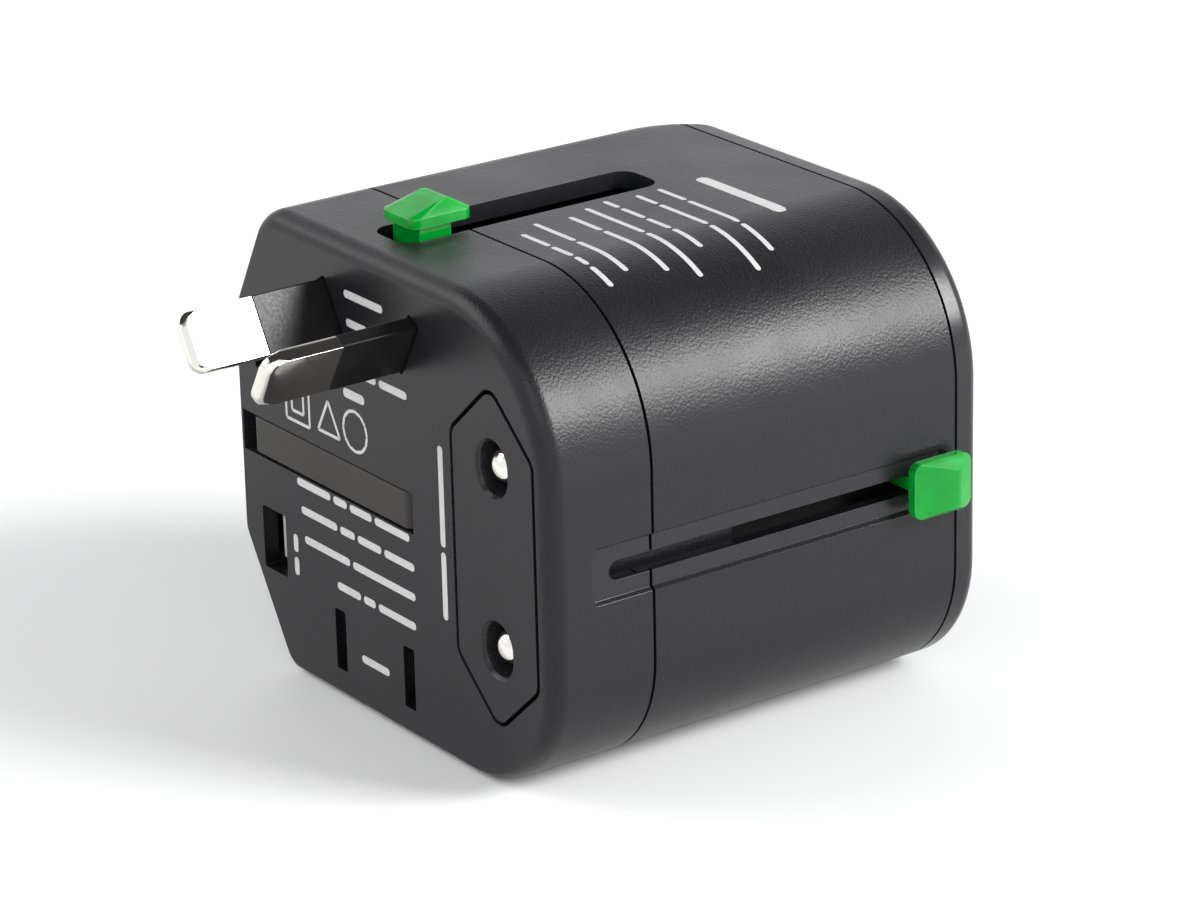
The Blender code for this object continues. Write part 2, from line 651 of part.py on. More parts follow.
def make_eu_slider():
    plate = prism(hexagon(-EU_BLOCK_WALL - 0.35), "Y", y_at(23.0), y_at(26.0))
    carrier = add_object("eu_pin_carrier", plate)
    join(carrier, box(22.2, 23.9, 24.0, 48.0, SIDE_Z - 3.0, SIDE_Z + 3.0))
    for z in eu_pin_heights():
        cut(carrier, prism(circle(EU_X, z, 1.45, 16), "Y", y_at(22.0), y_at(27.0)))
    stem_front, stem_rear = EU_BUTTON_FRONT + 1.3, EU_BUTTON_FRONT + 4.4
    cut(carrier, box(21.0, 25.0, stem_front + 0.6, stem_rear - 0.6, SIDE_Z - 0.9, SIDE_Z + 0.9))

    def place(point):
        along, across, height = point
        return (HALF_WIDTH + height, y_at(EU_BUTTON_FRONT + along), SIDE_Z + across)

    stem = box(24.2, HALF_WIDTH + BUTTON_BASE + 0.3, stem_front, stem_rear,
               SIDE_Z - STEM_HALF, SIDE_Z + STEM_HALF)
    tongue = box(22.4, 24.6, stem_front + 0.9, stem_rear - 0.9, SIDE_Z - 0.6, SIDE_Z + 0.6)
    button = make_slider_button("eu_slider_button", place, stem, tongue)
    return [carrier, button]


def make_us_slider():
    carrier = add_object("us_carrier", box(-15.5, 8.5, 20.6, 24.6, 2.6, 11.0))
    join(carrier, box(US_X - 3.0, US_X + 3.0, 24.0, 32.2, 2.3, 4.4))
    cut(carrier, box(US_X - 1.7, US_X + 1.7, 27.0, 31.0, 1.0, 3.8))
    pieces = [carrier]
    for label, side in (("left", -1), ("right", 1)):
        x = US_X + side * US_PITCH / 2
        cut(carrier, box(x - 0.55, x + 0.55, 19.0, 26.0, US_Z - 2.4, US_Z + 2.4))
        body = blade_hull(x, US_Z, US_TIP, 20.3, US_WIDE, US_THICK, 0.9)
        blade = add_object(f"us_blade_{label}", body)
        join(blade, box(x - 0.4, x + 0.4, 19.0, 24.3, US_Z - 2.2, US_Z + 2.2))
        pieces.append(blade)

    # A flush button, so that the adapter lies flat on this side
    front, rear = 25.4, 32.2
    button = add_object("us_slider_button", box(US_X - 3.0, US_X + 3.0, front, rear, 0.2, 2.0))
    join(button, box(US_X - 1.5, US_X + 1.5, 27.2, 30.8, 1.6, 3.5))
    for k in range(4):
        depth = front + 1.3 + 1.2 * k
        cut(button, box(US_X - 2.4, US_X + 2.4, depth, depth + 0.6, -1.0, 0.6))
    pieces.append(button)
    return pieces


def make_uk_slider():
    carrier = add_object("uk_carrier", box(-24.2, -18.5, 30.1, 33.1, 11.8, 38.0))
    join(carrier, box(-24.2, -22.4, 32.0, 37.6, SIDE_Z - 3.0, SIDE_Z + 3.0))
    stem_front, stem_rear = UK_BUTTON_FRONT + 0.6, UK_BUTTON_FRONT + 4.4
    cut(carrier, box(-25.0, -21.5, stem_front + 0.6, stem_rear - 0.6, SIDE_Z - 0.9, SIDE_Z + 0.9))
    pieces = [carrier]
    for label, side in (("line", 1), ("neutral", -1)):
        z = UK_Z + side * UK_PITCH / 2
        core_z = z - side * 0.3
        cut(carrier, box(UK_X - 1.2, UK_X + 1.2, 29.0, 34.0, core_z - 1.5, core_z + 1.5))
        pin = add_object(f"uk_pin_{label}", uk_pin_body(z))
        join(pin, box(UK_X - 1.0, UK_X + 1.0, UK_SLEEVE_START - 1.0, 32.8, core_z - 1.3, core_z + 1.3))
        pieces.append(pin)
        sleeve = add_object(f"uk_sleeve_{label}",
                            box(UK_X - 1.95, UK_X + 1.95, UK_SLEEVE_START, 29.8, z - 3.1, z + 3.1))
        cut(sleeve, box(UK_X - 1.15, UK_X + 1.15, 9.0, 31.0, core_z - 1.45, core_z + 1.45))
        pieces.append(sleeve)

    def place(point):
        along, across, height = point
        return (-HALF_WIDTH - height, y_at(UK_BUTTON_FRONT + along), SIDE_Z + across)

    stem = box(-HALF_WIDTH - BUTTON_BASE - 0.3, -24.5, stem_front, stem_rear,
               SIDE_Z - STEM_HALF, SIDE_Z + STEM_HALF)
    tongue = box(-24.9, -22.7, stem_front + 0.9, stem_rear - 0.9, SIDE_Z - 0.6, SIDE_Z + 0.6)
    pieces.append(make_slider_button("uk_slider_button", place, stem, tongue))
    return pieces


def uk_pin_body(z):
    points = []
    for depth, shrink in ((UK_TIP, 0.9), (UK_TIP + 0.9, 0.0), (UK_SLEEVE_START - 0.1, 0.0)):
        for px, pz in rectangle(UK_X, z, UK_THICK / 2 - shrink, UK_WIDE / 2 - shrink):
            points.append((px, y_at(depth), pz))
    return hull(points)


def make_earth_pin():
    """The folding earth pin: a bar that lies flush in the plug face, with its heel rounded."""
    bevel = 1.0
    corners = [(EARTH_TIP_X, EARTH_FRONT), (EARTH_END_X, EARTH_FRONT), (EARTH_END_X, EARTH_BACK),
               (EARTH_TIP_X, EARTH_BACK)]
    outline = round_corners([(x, y_at(depth)) for x, depth in corners], bevel)
    pin = add_object("uk_earth_pin", prism(outline, "Z", UK_Z - EARTH_HALF, UK_Z + EARTH_HALF))
    bore = circle(EARTH_X, y_at(EARTH_DEPTH), HINGE_R + 0.05, 24)
    cut(pin, prism(bore, "Z", UK_Z - 3.0, UK_Z + 3.0))
    shaft = circle(EARTH_X, y_at(EARTH_DEPTH), HINGE_R, 24)
    hinge = add_object("uk_earth_hinge_pin", prism(shaft, "Z", UK_Z - 3.2, UK_Z + 3.2), smooth=True)
    return pin, hinge


# ---------------------------------------------------------------- materials and bodies

MATERIALS = {
    "casing_black": ((0.030, 0.030, 0.033), 0.42, 0.0),
    "inner_plastic": ((0.018, 0.018, 0.020), 0.55, 0.0),
    "sleeve_black": ((0.012, 0.012, 0.012), 0.40, 0.0),
    "button_green": ((0.010, 0.380, 0.060), 0.15, 0.0),
    "nickel": ((0.780, 0.760, 0.720), 0.16, 1.0),
    "brass": ((0.720, 0.520, 0.230), 0.30, 1.0),
    "ceramic": ((0.780, 0.770, 0.730), 0.35, 0.0),
    "screw_steel": ((0.420, 0.420, 0.430), 0.32, 1.0),
}


def make_materials():
    made = {}
    for name, (colour, roughness, metallic) in MATERIALS.items():
        material = bpy.data.materials.new(name)
        material.use_nodes = True
        shader = material.node_tree.nodes["Principled BSDF"]
        shader.inputs["Base Color"].default_value = (*colour, 1.0)
        shader.inputs["Roughness"].default_value = roughness
        shader.inputs["Metallic"].default_value = metallic
        made[name] = material
    return made


def gather(name, location, pieces, parent=None):
    """Parents pieces to an empty that stands on the joint's axis, without moving them."""
    empty = bpy.data.objects.new(name, None)
    bpy.context.collection.objects.link(empty)
    world = Matrix.Translation(Vector(location) * MM)
    empty.empty_display_size = 5 * MM
    if parent is None:
        empty.location = world.translation
    else:
        empty.parent = parent
        empty.location = world.translation - parent.location
    for piece in pieces:
        piece.parent = empty
        piece.matrix_parent_inverse = world.inverted()
    return empty


def main():
    clear_scene()
    materials = make_materials()

    def coat(material, pieces):
        for piece in pieces:
            piece.data.materials.append(materials[material])

    coat("casing_black", [make_front_cover(), make_body_shell(), make_rear_cover()])
    coat("inner_plastic", [make_socket_block(), make_inner_frame()])
    coat("brass", [make_busbar(f"{label}_busbar", x) for label, x in zip(("live", "neutral"), BUSBAR_X)])
    coat("brass", [make_contact("live_contact", -1), make_contact("neutral_contact", 1)])
    coat("ceramic", [make_fuse()])
    coat("brass", [make_fuse_clip("fuse_clip_front", 12.2), make_fuse_clip("fuse_clip_rear", 27.0)])
    coat("screw_steel", [make_case_screw(f"case_screw_{i}", *place) for i, place in enumerate(SCREWS, 1)])

    au_carrier, au_button = make_au_slider()
    blades = make_au_blades()
    coat("inner_plastic", [au_carrier])
    coat("button_green", [au_button])
    coat("nickel", blades[0::2])
    coat("sleeve_black", blades[1::2])
    gather("au_axis", (TOP_X, y_at(4.4), AU_Z), [au_carrier, au_button] + blades)

    block = make_eu_block()
    eu_carrier, eu_button = make_eu_slider()
    pins = make_eu_pins()
    coat("casing_black", [block])
    coat("inner_plastic", [eu_carrier])
    coat("button_green", [eu_button])
    coat("nickel", pins[0::2])
    coat("sleeve_black", pins[1::2])
    block_axis = gather("eu_block_axis", (EU_X, y_at(0.0), EU_Z), [block])
    gather("eu_pins_axis", (EU_X, y_at(24.5), EU_Z), [eu_carrier, eu_button] + pins, block_axis)

    us_carrier, us_left, us_right, us_button = make_us_slider()
    coat("inner_plastic", [us_carrier])
    coat("nickel", [us_left, us_right])
    coat("button_green", [us_button])
    gather("us_axis", (US_X, y_at(22.6), US_Z), [us_carrier, us_left, us_right, us_button])

    uk_carrier, pin_line, sleeve_line, pin_neutral, sleeve_neutral, uk_button = make_uk_slider()
    coat("inner_plastic", [uk_carrier])
    coat("nickel", [pin_line, pin_neutral])
    coat("sleeve_black", [sleeve_line, sleeve_neutral])
    coat("button_green", [uk_button])
    gather("uk_axis", (UK_X, y_at(31.6), UK_Z),
           [uk_carrier, pin_line, sleeve_line, pin_neutral, sleeve_neutral, uk_button])

    earth_pin, hinge_pin = make_earth_pin()
    coat("sleeve_black", [earth_pin])
    coat("screw_steel", [hinge_pin])
    gather("earth_axis", (EARTH_X, y_at(EARTH_DEPTH), UK_Z), [earth_pin])


main()
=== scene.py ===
"""The looks of a universal travel adapter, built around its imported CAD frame.

The casing, the plugs and three of the buttons are rebuilt here as fine meshes of the same size and
place as their CAD nodes. The button underneath and the inner pieces keep their CAD meshes. Lengths
are millimetres until a mesh is made, and a depth is a distance behind the plug face, along +Y.
"""

import json
import math

import bmesh
import bpy
from mathutils import Matrix, Vector


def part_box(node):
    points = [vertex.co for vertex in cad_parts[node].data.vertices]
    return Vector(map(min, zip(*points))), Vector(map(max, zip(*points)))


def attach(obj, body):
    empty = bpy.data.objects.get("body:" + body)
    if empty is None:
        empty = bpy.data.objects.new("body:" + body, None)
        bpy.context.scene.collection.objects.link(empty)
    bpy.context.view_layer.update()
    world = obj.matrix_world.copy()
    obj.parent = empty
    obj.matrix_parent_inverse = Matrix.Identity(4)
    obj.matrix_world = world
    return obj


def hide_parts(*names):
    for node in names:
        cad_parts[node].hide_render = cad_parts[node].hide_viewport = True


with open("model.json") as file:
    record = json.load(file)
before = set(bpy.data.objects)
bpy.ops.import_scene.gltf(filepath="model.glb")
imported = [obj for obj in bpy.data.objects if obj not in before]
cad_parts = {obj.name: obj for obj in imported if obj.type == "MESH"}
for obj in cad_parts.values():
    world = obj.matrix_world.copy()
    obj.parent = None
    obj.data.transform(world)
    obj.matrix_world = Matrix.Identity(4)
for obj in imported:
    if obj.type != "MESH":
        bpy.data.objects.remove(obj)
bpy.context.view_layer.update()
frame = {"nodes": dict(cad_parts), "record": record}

MM = 0.001


# ---------------------------------------------------------------- sizes read from the frame

def node_box(node):
    """A node's lowest and highest corner at rest, in millimetres."""
    low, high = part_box(node)
    return Vector(low) / MM, Vector(high) / MM


def node_middle(node):
    low, high = node_box(node)
    return (low + high) / 2


def node_depths(node):
    """How far behind the plug face a node starts and ends."""
    low, high = node_box(node)
    return low.y - FACE_Y, high.y - FACE_Y


cover_low, cover_high = node_box("front_cover")
SEAM_GAP = 0.3
FACE_Y = cover_low.y
HALF_WIDTH = cover_high.x
HEIGHT = cover_high.z
DEPTH = node_depths("rear_cover")[1]
COVER_REAR = node_depths("front_cover")[1]
SHELL_FRONT = COVER_REAR + SEAM_GAP
SHELL_REAR = node_depths("body_shell")[1]
REAR_FRONT = SHELL_REAR + SEAM_GAP

WALL = 1.8
FRONT_FILLET = 2.0
REAR_FILLET = 1.5
EDGE = 0.14                # broken edge that a moulded corner has
INK_THICK = 0.02
CLEAR = 1.0                # how far a tool reaches past the face that it cuts or joins

# A lap joint closes each seam: an outer skirt over a tongue that lies further in
SKIRT_THICK, TONGUE_INSET = 0.75, 1.05
FRONT_LAP, REAR_LAP, REAR_TONGUE = 1.45, 1.15, 1.05

# Corners of the casing's outline, anticlockwise seen from behind: x, z, corner radius at the front
# seam and at the rear seam, arc steps. Between the seams each radius grows evenly.
CORNERS = (
    (HALF_WIDTH, 0.0, 14.0, 14.0, 28),
    (HALF_WIDTH, HEIGHT, 17.0, 17.0, 32),
    (-21.65, HEIGHT, 4.5, 6.0, 14),
    (-HALF_WIDTH, 38.4, 3.0, 6.0, 8),
    (-HALF_WIDTH, 13.4, 3.0, 6.0, 8),
    (-20.15, 0.0, 3.0, 6.0, 12),
)
# How much of the front fillet each edge of the outline has: bottom, right, top, and the left three
EDGE_SOFTNESS = (0.4, 1.0, 1.0, 0.5, 0.4, 0.4)
# The left-hand side turns in towards the rear face from this depth
TURN_START, TURN_RADIUS = 45.5, 9.0

AU_MIDDLES = [node_middle(f"au_blade_{label}") for label in ("left", "right")]
AU_TILT = math.radians(30.0)
AU_WIDE, AU_THICK = 6.35, 1.63
AU_TIP = node_depths("au_blade_left")[0]
AU_SLEEVE_FRONT, AU_SLEEVE_REAR = node_depths("au_sleeve_left")
AU_CLEARANCE = 0.2

EU_PINS = (node_middle("eu_pin_upper").z, node_middle("eu_pin_lower").z)
EU_X = node_middle("eu_pin_upper").x
EU_Z = sum(EU_PINS) / 2
EU_TIP = node_depths("eu_pin_upper")[0]
EU_HALF_WIDTH, EU_HALF_HEIGHT, EU_SHOULDER = 6.7, 17.65, 11.65
EU_GROOVE = 0.45
EU_PIN_R = 2.0
EU_HOLE_R, EU_HOLE_STRETCH = 2.4, 0.4

US_BLADES = (node_middle("us_blade_left"), node_middle("us_blade_right"))
US_MIDDLE_X = node_middle("us_slider_button").x
UK_PINS = (node_middle("uk_pin_line"), node_middle("uk_pin_neutral"))
# Slots in the plug face: half width, half height, corner radius
US_SLOT = (0.95, 3.35, 0.25)
UK_SLOT = (2.2, 3.45, 0.3)
SLOT_DEPTH = 3.0
EARTH_LOW, EARTH_HIGH = node_box("uk_earth_pin")
EARTH_Z = (EARTH_LOW.z + EARTH_HIGH.z) / 2
HINGE = node_middle("uk_earth_hinge_pin")
HINGE_HOLE_R = 1.05

SIDE_Z = node_middle("eu_slider_button").z
TOP_X = -4.9
CHANNEL_HALF, CHANNEL_DEPTH, CHANNEL_SLOPE = 3.0, 0.45, 0.7
# Depths between which the side channels and the button slots lie
RIGHT_CHANNEL, LEFT_CHANNEL = (5.1, 49.0), (12.6, 40.0)
RIGHT_SLOT, LEFT_SLOT = (7.3, 48.4), (13.1, 37.9)
TOP_SLOT, BOTTOM_SLOT = (4.4, 36.2), (7.1, 32.8)
SIDE_SLOT_R, END_SLOT_HALF = 1.0, 3.25
BUTTON_BASE, BUTTON_RIM, BUTTON_TOP = 1.1, 2.15, 3.5
BUTTON_LENGTH, BUTTON_HALF = 7.3, 3.0
RIDGE_AT, RIDGE_HALF, RIDGE_FLAT = 4.4, 2.0, 0.5

SOCKET_Z = 17.5
SOCKET_EARTH_Z = 39.7
# Socket openings: distance from the middle, then half width and half height or a radius
UK_OPENING = (11.1, 3.5, 2.3)
EU_OPENING = (9.5, 2.6)
US_OPENING = (6.35, 1.0, 3.7)
AU_OPENING = (6.9, 1.0, 3.6)
EARTH_OPENING = (0.0, 2.4, 4.4)
OPENING_CORNER_R, OPENING_DEPTH = 0.3, 2.0

SCREW_PLACES = [node_middle(f"case_screw_{i}") for i in range(1, 5)]
BOSS_R, BOSS_FRONT, BOSS_REAR = 2.7, 38.0, 48.3
THREAD_R, THREAD_FRONT = 1.05, 39.6
SHANK_R, HEAD_R, HEAD_DEPTH = 1.25, 2.3, 1.5


# ---------------------------------------------------------------- mesh helpers

def y_at(depth):
    return FACE_Y + depth


def add_object(name, bm, material=None):
    """Turns a bmesh in millimetres into an object in metres, with its faces pointing out."""
    bmesh.ops.recalc_face_normals(bm, faces=bm.faces)
    bmesh.ops.scale(bm, vec=(MM, MM, MM), verts=bm.verts)
    mesh = bpy.data.meshes.new(name)
    bm.to_mesh(mesh)
    bm.free()
    obj = bpy.data.objects.new(name, mesh)
    bpy.context.collection.objects.link(obj)
    if material:
        mesh.materials.append(material)
    return obj


def loft(rings, closed=False):
    """Joins rings of equal point count; caps both ends, or joins the last ring to the first."""
    bm = bmesh.new()
    rows = [[bm.verts.new(point) for point in ring] for ring in rings]
    count = len(rows[0])
    pairs = list(zip(rows, rows[1:]))
    if closed:
        pairs.append((rows[-1], rows[0]))
    for lower, upper in pairs:
        for i in range(count):
            j = (i + 1) % count
            bm.faces.new((lower[i], lower[j], upper[j], upper[i]))
    if not closed:
        bm.faces.new(rows[0])
        bm.faces.new(rows[-1])
    return bm


def prism(points, axis, low, high):
    """Extrudes an outline along an axis. The points hold the other two coordinates in order."""
    def place(point, along):
        if axis == "X":
            return (along, point[0], point[1])
        if axis == "Y":
            return (point[0], along, point[1])
        return (point[0], point[1], along)
    return loft([[place(p, low) for p in points], [place(p, high) for p in points]])


def y_prism(outline, d0, d1):
    """Extrudes an outline of x and z between two depths."""
    return prism(outline, "Y", y_at(d0), y_at(d1))


def box(x0, x1, d0, d1, z0, z1):
    return y_prism([(x0, z0), (x1, z0), (x1, z1), (x0, z1)], d0, d1)


def circle(a, b, radius, steps=48):
    turn = 2 * math.pi / steps
    return [(a + radius * math.cos(i * turn), b + radius * math.sin(i * turn)) for i in range(steps)]


def stadium(a0, a1, b, radius, steps=20):
    """An outline with round ends, long in the first coordinate."""
    points = []
    for centre, start in ((a1, -90.0), (a0, 90.0)):
        for i in range(steps + 1):
            angle = math.radians(start + 180.0 * i / steps)
            points.append((centre + radius * math.cos(angle), b + radius * math.sin(angle)))
    return points


def swap(points):
    return [(b, a) for a, b in points]


def rectangle(a, b, half_a, half_b):
    return [(a - half_a, b - half_b), (a + half_a, b - half_b),
            (a + half_a, b + half_b), (a - half_a, b + half_b)]


def round_corners(corners, radius, steps=6):
    """Rounds each corner of an anticlockwise outline; a radius may be given for each corner."""
    points = []
    count = len(corners)
    radii = radius if isinstance(radius, (list, tuple)) else [radius] * count
    counts = steps if isinstance(steps, (list, tuple)) else [steps] * count
    for i, corner in enumerate(corners):
        here = Vector(corner)
        into = (here - Vector(corners[i - 1])).normalized()
        out = (Vector(corners[(i + 1) % count]) - here).normalized()
        normal_in = Vector((-into.y, into.x))
        normal_out = Vector((-out.y, out.x))
        bisector = (normal_in + normal_out).normalized()
        centre = here + bisector * (radii[i] / bisector.dot(normal_in))
        start = math.atan2(-normal_in.y, -normal_in.x)
        sweep = -normal_in.angle_signed(normal_out)
        for k in range(counts[i] + 1):
            angle = start + sweep * k / counts[i]
            points.append((centre.x + radii[i] * math.cos(angle),
                           centre.y + radii[i] * math.sin(angle)))
    return points


def soft_rectangle(a, b, half_a, half_b, radius=0.35):
    return round_corners(rectangle(a, b, half_a, half_b), radius)


def hull(points):
    bm = bmesh.new()
    for point in points:
        bm.verts.new(point)
    result = bmesh.ops.convex_hull(bm, input=bm.verts)
    spare = {v for v in result["geom_interior"] + result["geom_unused"]
             if isinstance(v, bmesh.types.BMVert)}
    bmesh.ops.delete(bm, geom=list(spare), context="VERTS")
    bmesh.ops.dissolve_limit(bm, angle_limit=math.radians(1.0), verts=bm.verts, edges=bm.edges)
    return bm


def lean(bm, middle, angle):
    """Turns a body about an axis parallel to Y; a positive angle leans its top towards -X."""
    pivot = Vector((middle.x, 0.0, middle.z))
    bmesh.ops.rotate(bm, cent=pivot, matrix=Matrix.Rotation(-angle, 3, "Y"), verts=bm.verts)
    return bm


def merge(bodies):
    """Puts several separate bodies into one bmesh, to cut or join them in one step."""
    whole = bmesh.new()
    for bm in bodies:
        part = bpy.data.meshes.new("part")
        bmesh.ops.recalc_face_normals(bm, faces=bm.faces)
        bm.to_mesh(part)
        bm.free()
        whole.from_mesh(part)
        bpy.data.meshes.remove(part)
    return whole


def boolean(obj, bm, operation, material=None):
    """Applies a Boolean with a body; the faces it leaves take the tool's material."""
    tool = add_object("tool", bm, material)
    modifier = obj.modifiers.new("boolean", "BOOLEAN")
    modifier.operation = operation
    modifier.solver = "EXACT"
    modifier.object = tool
    if material:
        modifier.material_mode = "TRANSFER"
    settle(obj)
    bpy.data.meshes.remove(tool.data)


def cut(obj, bodies, material=None):
    for bm in bodies:
        boolean(obj, bm, "DIFFERENCE", material)


def join(obj, bodies, material=None):
    for bm in bodies:
        boolean(obj, bm, "UNION", material)


def settle(obj):
    """Replaces an object's mesh by the one its modifiers make."""
    graph = bpy.context.evaluated_depsgraph_get()
    old = obj.data
    obj.data = bpy.data.meshes.new_from_object(obj.evaluated_get(graph))
    obj.modifiers.clear()
    bpy.data.meshes.remove(old)
    obj.data.name = obj.name


def add_bevel(obj, width, segments, angle):
    bevel = obj.modifiers.new("edges", "BEVEL")
    bevel.width = width * MM
    bevel.segments = segments
    bevel.limit_method = "ANGLE"
    bevel.angle_limit = math.radians(angle)
    return bevel


def break_edges(obj, width=EDGE, segments=3, angle=32.0):
    """Rounds the sharp edges a little, and keeps the flat faces flat in the shading."""
    bevel = add_bevel(obj, width, segments, angle)
    bevel.miter_outer = "MITER_ARC"
    obj.data.shade_smooth()
    normals = obj.modifiers.new("normals", "WEIGHTED_NORMAL")
    normals.keep_sharp = True
    normals.weight = 95


def tidy_mesh(obj):
    """Welds points that a Boolean left almost on each other."""
    bm = bmesh.new()
    bm.from_mesh(obj.data)
    bmesh.ops.remove_doubles(bm, verts=bm.verts, dist=0.004 * MM)
    bmesh.ops.dissolve_degenerate(bm, edges=bm.edges, dist=0.002 * MM)
    bmesh.ops.dissolve_limit(bm, angle_limit=math.radians(0.3), verts=bm.verts, edges=bm.edges,
                             delimit={"MATERIAL"})
    bm.to_mesh(obj.data)
    bm.free()


def enlist(obj, node):
    """Lets a piece stand for a CAD node, and ride with that node's body."""
    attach(obj, BODY_OF[node])
    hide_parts(node)


BODIES = frame["record"]["behaviour"]["bodies"]
BODY_OF = {node: body for body, nodes in BODIES.items() for node in nodes}


# ---------------------------------------------------------------- materials

def new_material(name):
    material = bpy.data.materials.new(name)
    material.use_nodes = True
    nodes = material.node_tree.nodes
    return material, nodes, material.node_tree.links, nodes["Principled BSDF"]


def noise(nodes, links, source, scale, detail=2.0, roughness=0.5, distortion=0.0):
    node = nodes.new("ShaderNodeTexNoise")
    node.inputs["Scale"].default_value = scale
    node.inputs["Detail"].default_value = detail
    node.inputs["Roughness"].default_value = roughness
    node.inputs["Distortion"].default_value = distortion
    links.new(source, node.inputs["Vector"])
    return node.outputs["Fac"]


def remap(nodes, links, value, low, high, to_low, to_high):
    node = nodes.new("ShaderNodeMapRange")
    node.inputs["From Min"].default_value = low
    node.inputs["From Max"].default_value = high
    node.inputs["To Min"].default_value = to_low
    node.inputs["To Max"].default_value = to_high
    links.new(value, node.inputs["Value"])
    return node.outputs["Result"]


def arithmetic(nodes, links, operation, first, second):
    node = nodes.new("ShaderNodeMath")
    node.operation = operation
    for value, socket in ((first, node.inputs[0]), (second, node.inputs[1])):
        if isinstance(value, float):
            socket.default_value = value
        else:
            links.new(value, socket)
    return node.outputs[0]


def two_colours(nodes, links, value, dark, light):
    """Blends two colours, of which each is a triple or the output of another node."""
    node = nodes.new("ShaderNodeMix")
    node.data_type = "RGBA"
    for colour, socket in ((dark, node.inputs[6]), (light, node.inputs[7])):
        if isinstance(colour, tuple):
            socket.default_value = (*colour, 1.0)
        else:
            links.new(colour, socket)
    links.new(value, node.inputs[0])
    return node.outputs[2]


def bump(nodes, links, height, strength, distance, shader):
    node = nodes.new("ShaderNodeBump")
    node.inputs["Distance"].default_value = distance * MM
    if isinstance(strength, float):
        node.inputs["Strength"].default_value = strength
    else:
        links.new(strength, node.inputs["Strength"])
    links.new(height, node.inputs["Height"])
    links.new(node.outputs["Normal"], shader.inputs["Normal"])


def object_coordinates(nodes):
    return nodes.new("ShaderNodeTexCoord").outputs["Object"]


def edge_share(nodes, links, radius):
    """1 on the edges of a piece, falling to 0 within a radius of them."""
    bevel = nodes.new("ShaderNodeBevel")
    bevel.samples = 4
    bevel.inputs["Radius"].default_value = radius * MM
    likeness = nodes.new("ShaderNodeVectorMath")
    likeness.operation = "DOT_PRODUCT"
    links.new(bevel.outputs["Normal"], likeness.inputs[0])
    links.new(nodes.new("ShaderNodeNewGeometry").outputs["Normal"], likeness.inputs[1])
    return remap(nodes, links, likeness.outputs["Value"], 0.85, 0.985, 1.0, 0.0)


def make_textured_plastic(name, dark, light, grain, rough_low, rough_high):
    """Spark-eroded moulding: fine wrinkles about 0.3 mm apart, weaker on faces across Y."""
    material, nodes, links, shader = new_material(name)
    place = object_coordinates(nodes)
    geometry = nodes.new("ShaderNodeNewGeometry")
    split = nodes.new("ShaderNodeSeparateXYZ")
    links.new(geometry.outputs["True Normal"], split.inputs[0])
    facing = arithmetic(nodes, links, "ABSOLUTE", split.outputs["Y"], 0.0)
    amount = remap(nodes, links, facing, 0.75, 0.97, grain, grain * 0.35)

    wrinkle = noise(nodes, links, place, 3300.0, 1.0, 0.45)
    speck = noise(nodes, links, place, 6200.0, 1.0, 0.5)
    height = arithmetic(nodes, links, "ADD", wrinkle, arithmetic(nodes, links, "MULTIPLY", speck, 0.35))
    bump(nodes, links, height, amount, 0.06, shader)

    cloud = noise(nodes, links, place, 95.0, 3.0)
    links.new(two_colours(nodes, links, wrinkle, dark, light), shader.inputs["Base Color"])
    patchy = remap(nodes, links, cloud, 0.3, 0.7, rough_low, rough_high)
    worn = arithmetic(nodes, links, "MULTIPLY", edge_share(nodes, links, 0.3), 0.10)
    links.new(arithmetic(nodes, links, "SUBTRACT", patchy, worn), shader.inputs["Roughness"])
    shader.inputs["Specular IOR Level"].default_value = 0.28
    return material


def make_smooth_plastic(name, dark, light, rough_low, rough_high, ripple=0.15, specular=0.28):
    """A plain moulded surface with faint flow marks."""
    material, nodes, links, shader = new_material(name)
    place = object_coordinates(nodes)
    flow = noise(nodes, links, place, 420.0, 3.0, 0.6)
    fine = noise(nodes, links, place, 3100.0, 2.0)
    links.new(two_colours(nodes, links, flow, dark, light), shader.inputs["Base Color"])
    links.new(remap(nodes, links, fine, 0.3, 0.7, rough_low, rough_high), shader.inputs["Roughness"])
    bump(nodes, links, fine, ripple, 0.02, shader)
    shader.inputs["Specular IOR Level"].default_value = specular
    return material


def make_clear_green(name, rough_low, rough_high, frost):
    """Tinted clear plastic, painted lighter along its edges as a glow of the light that the plastic carries
    to them.
    """
    material, nodes, links, shader = new_material(name)
    place = object_coordinates(nodes)
    swirl = noise(nodes, links, place, 330.0, 2.0, 0.5, 0.4)
    grain = noise(nodes, links, place, 5200.0, 2.0, 0.6)
    inside = two_colours(nodes, links, remap(nodes, links, swirl, 0.25, 0.75, 0.0, 1.0),
                         (0.0, 0.360, 0.030), (0.0, 0.520, 0.052))
    # Painted highlight: the edges are mixed toward a bright green, a painted glow of light carried through
    # the clear plastic
    rim = arithmetic(nodes, links, "MULTIPLY", edge_share(nodes, links, 0.25), 0.7)
    links.new(two_colours(nodes, links, rim, inside, (0.12, 0.90, 0.25)), shader.inputs["Base Color"])
    links.new(remap(nodes, links, grain, 0.3, 0.7, rough_low, rough_high), shader.inputs["Roughness"])
    bump(nodes, links, grain, frost, 0.05, shader)
    shader.inputs["Transmission Weight"].default_value = 0.5
    shader.inputs["IOR"].default_value = 1.49
    shader.inputs["Specular IOR Level"].default_value = 0.2
    shader.inputs["Subsurface Weight"].default_value = 0.15
    shader.inputs["Subsurface Radius"].default_value = (0.3, 3.0, 0.5)
    shader.inputs["Subsurface Scale"].default_value = 1.0 * MM
    return material


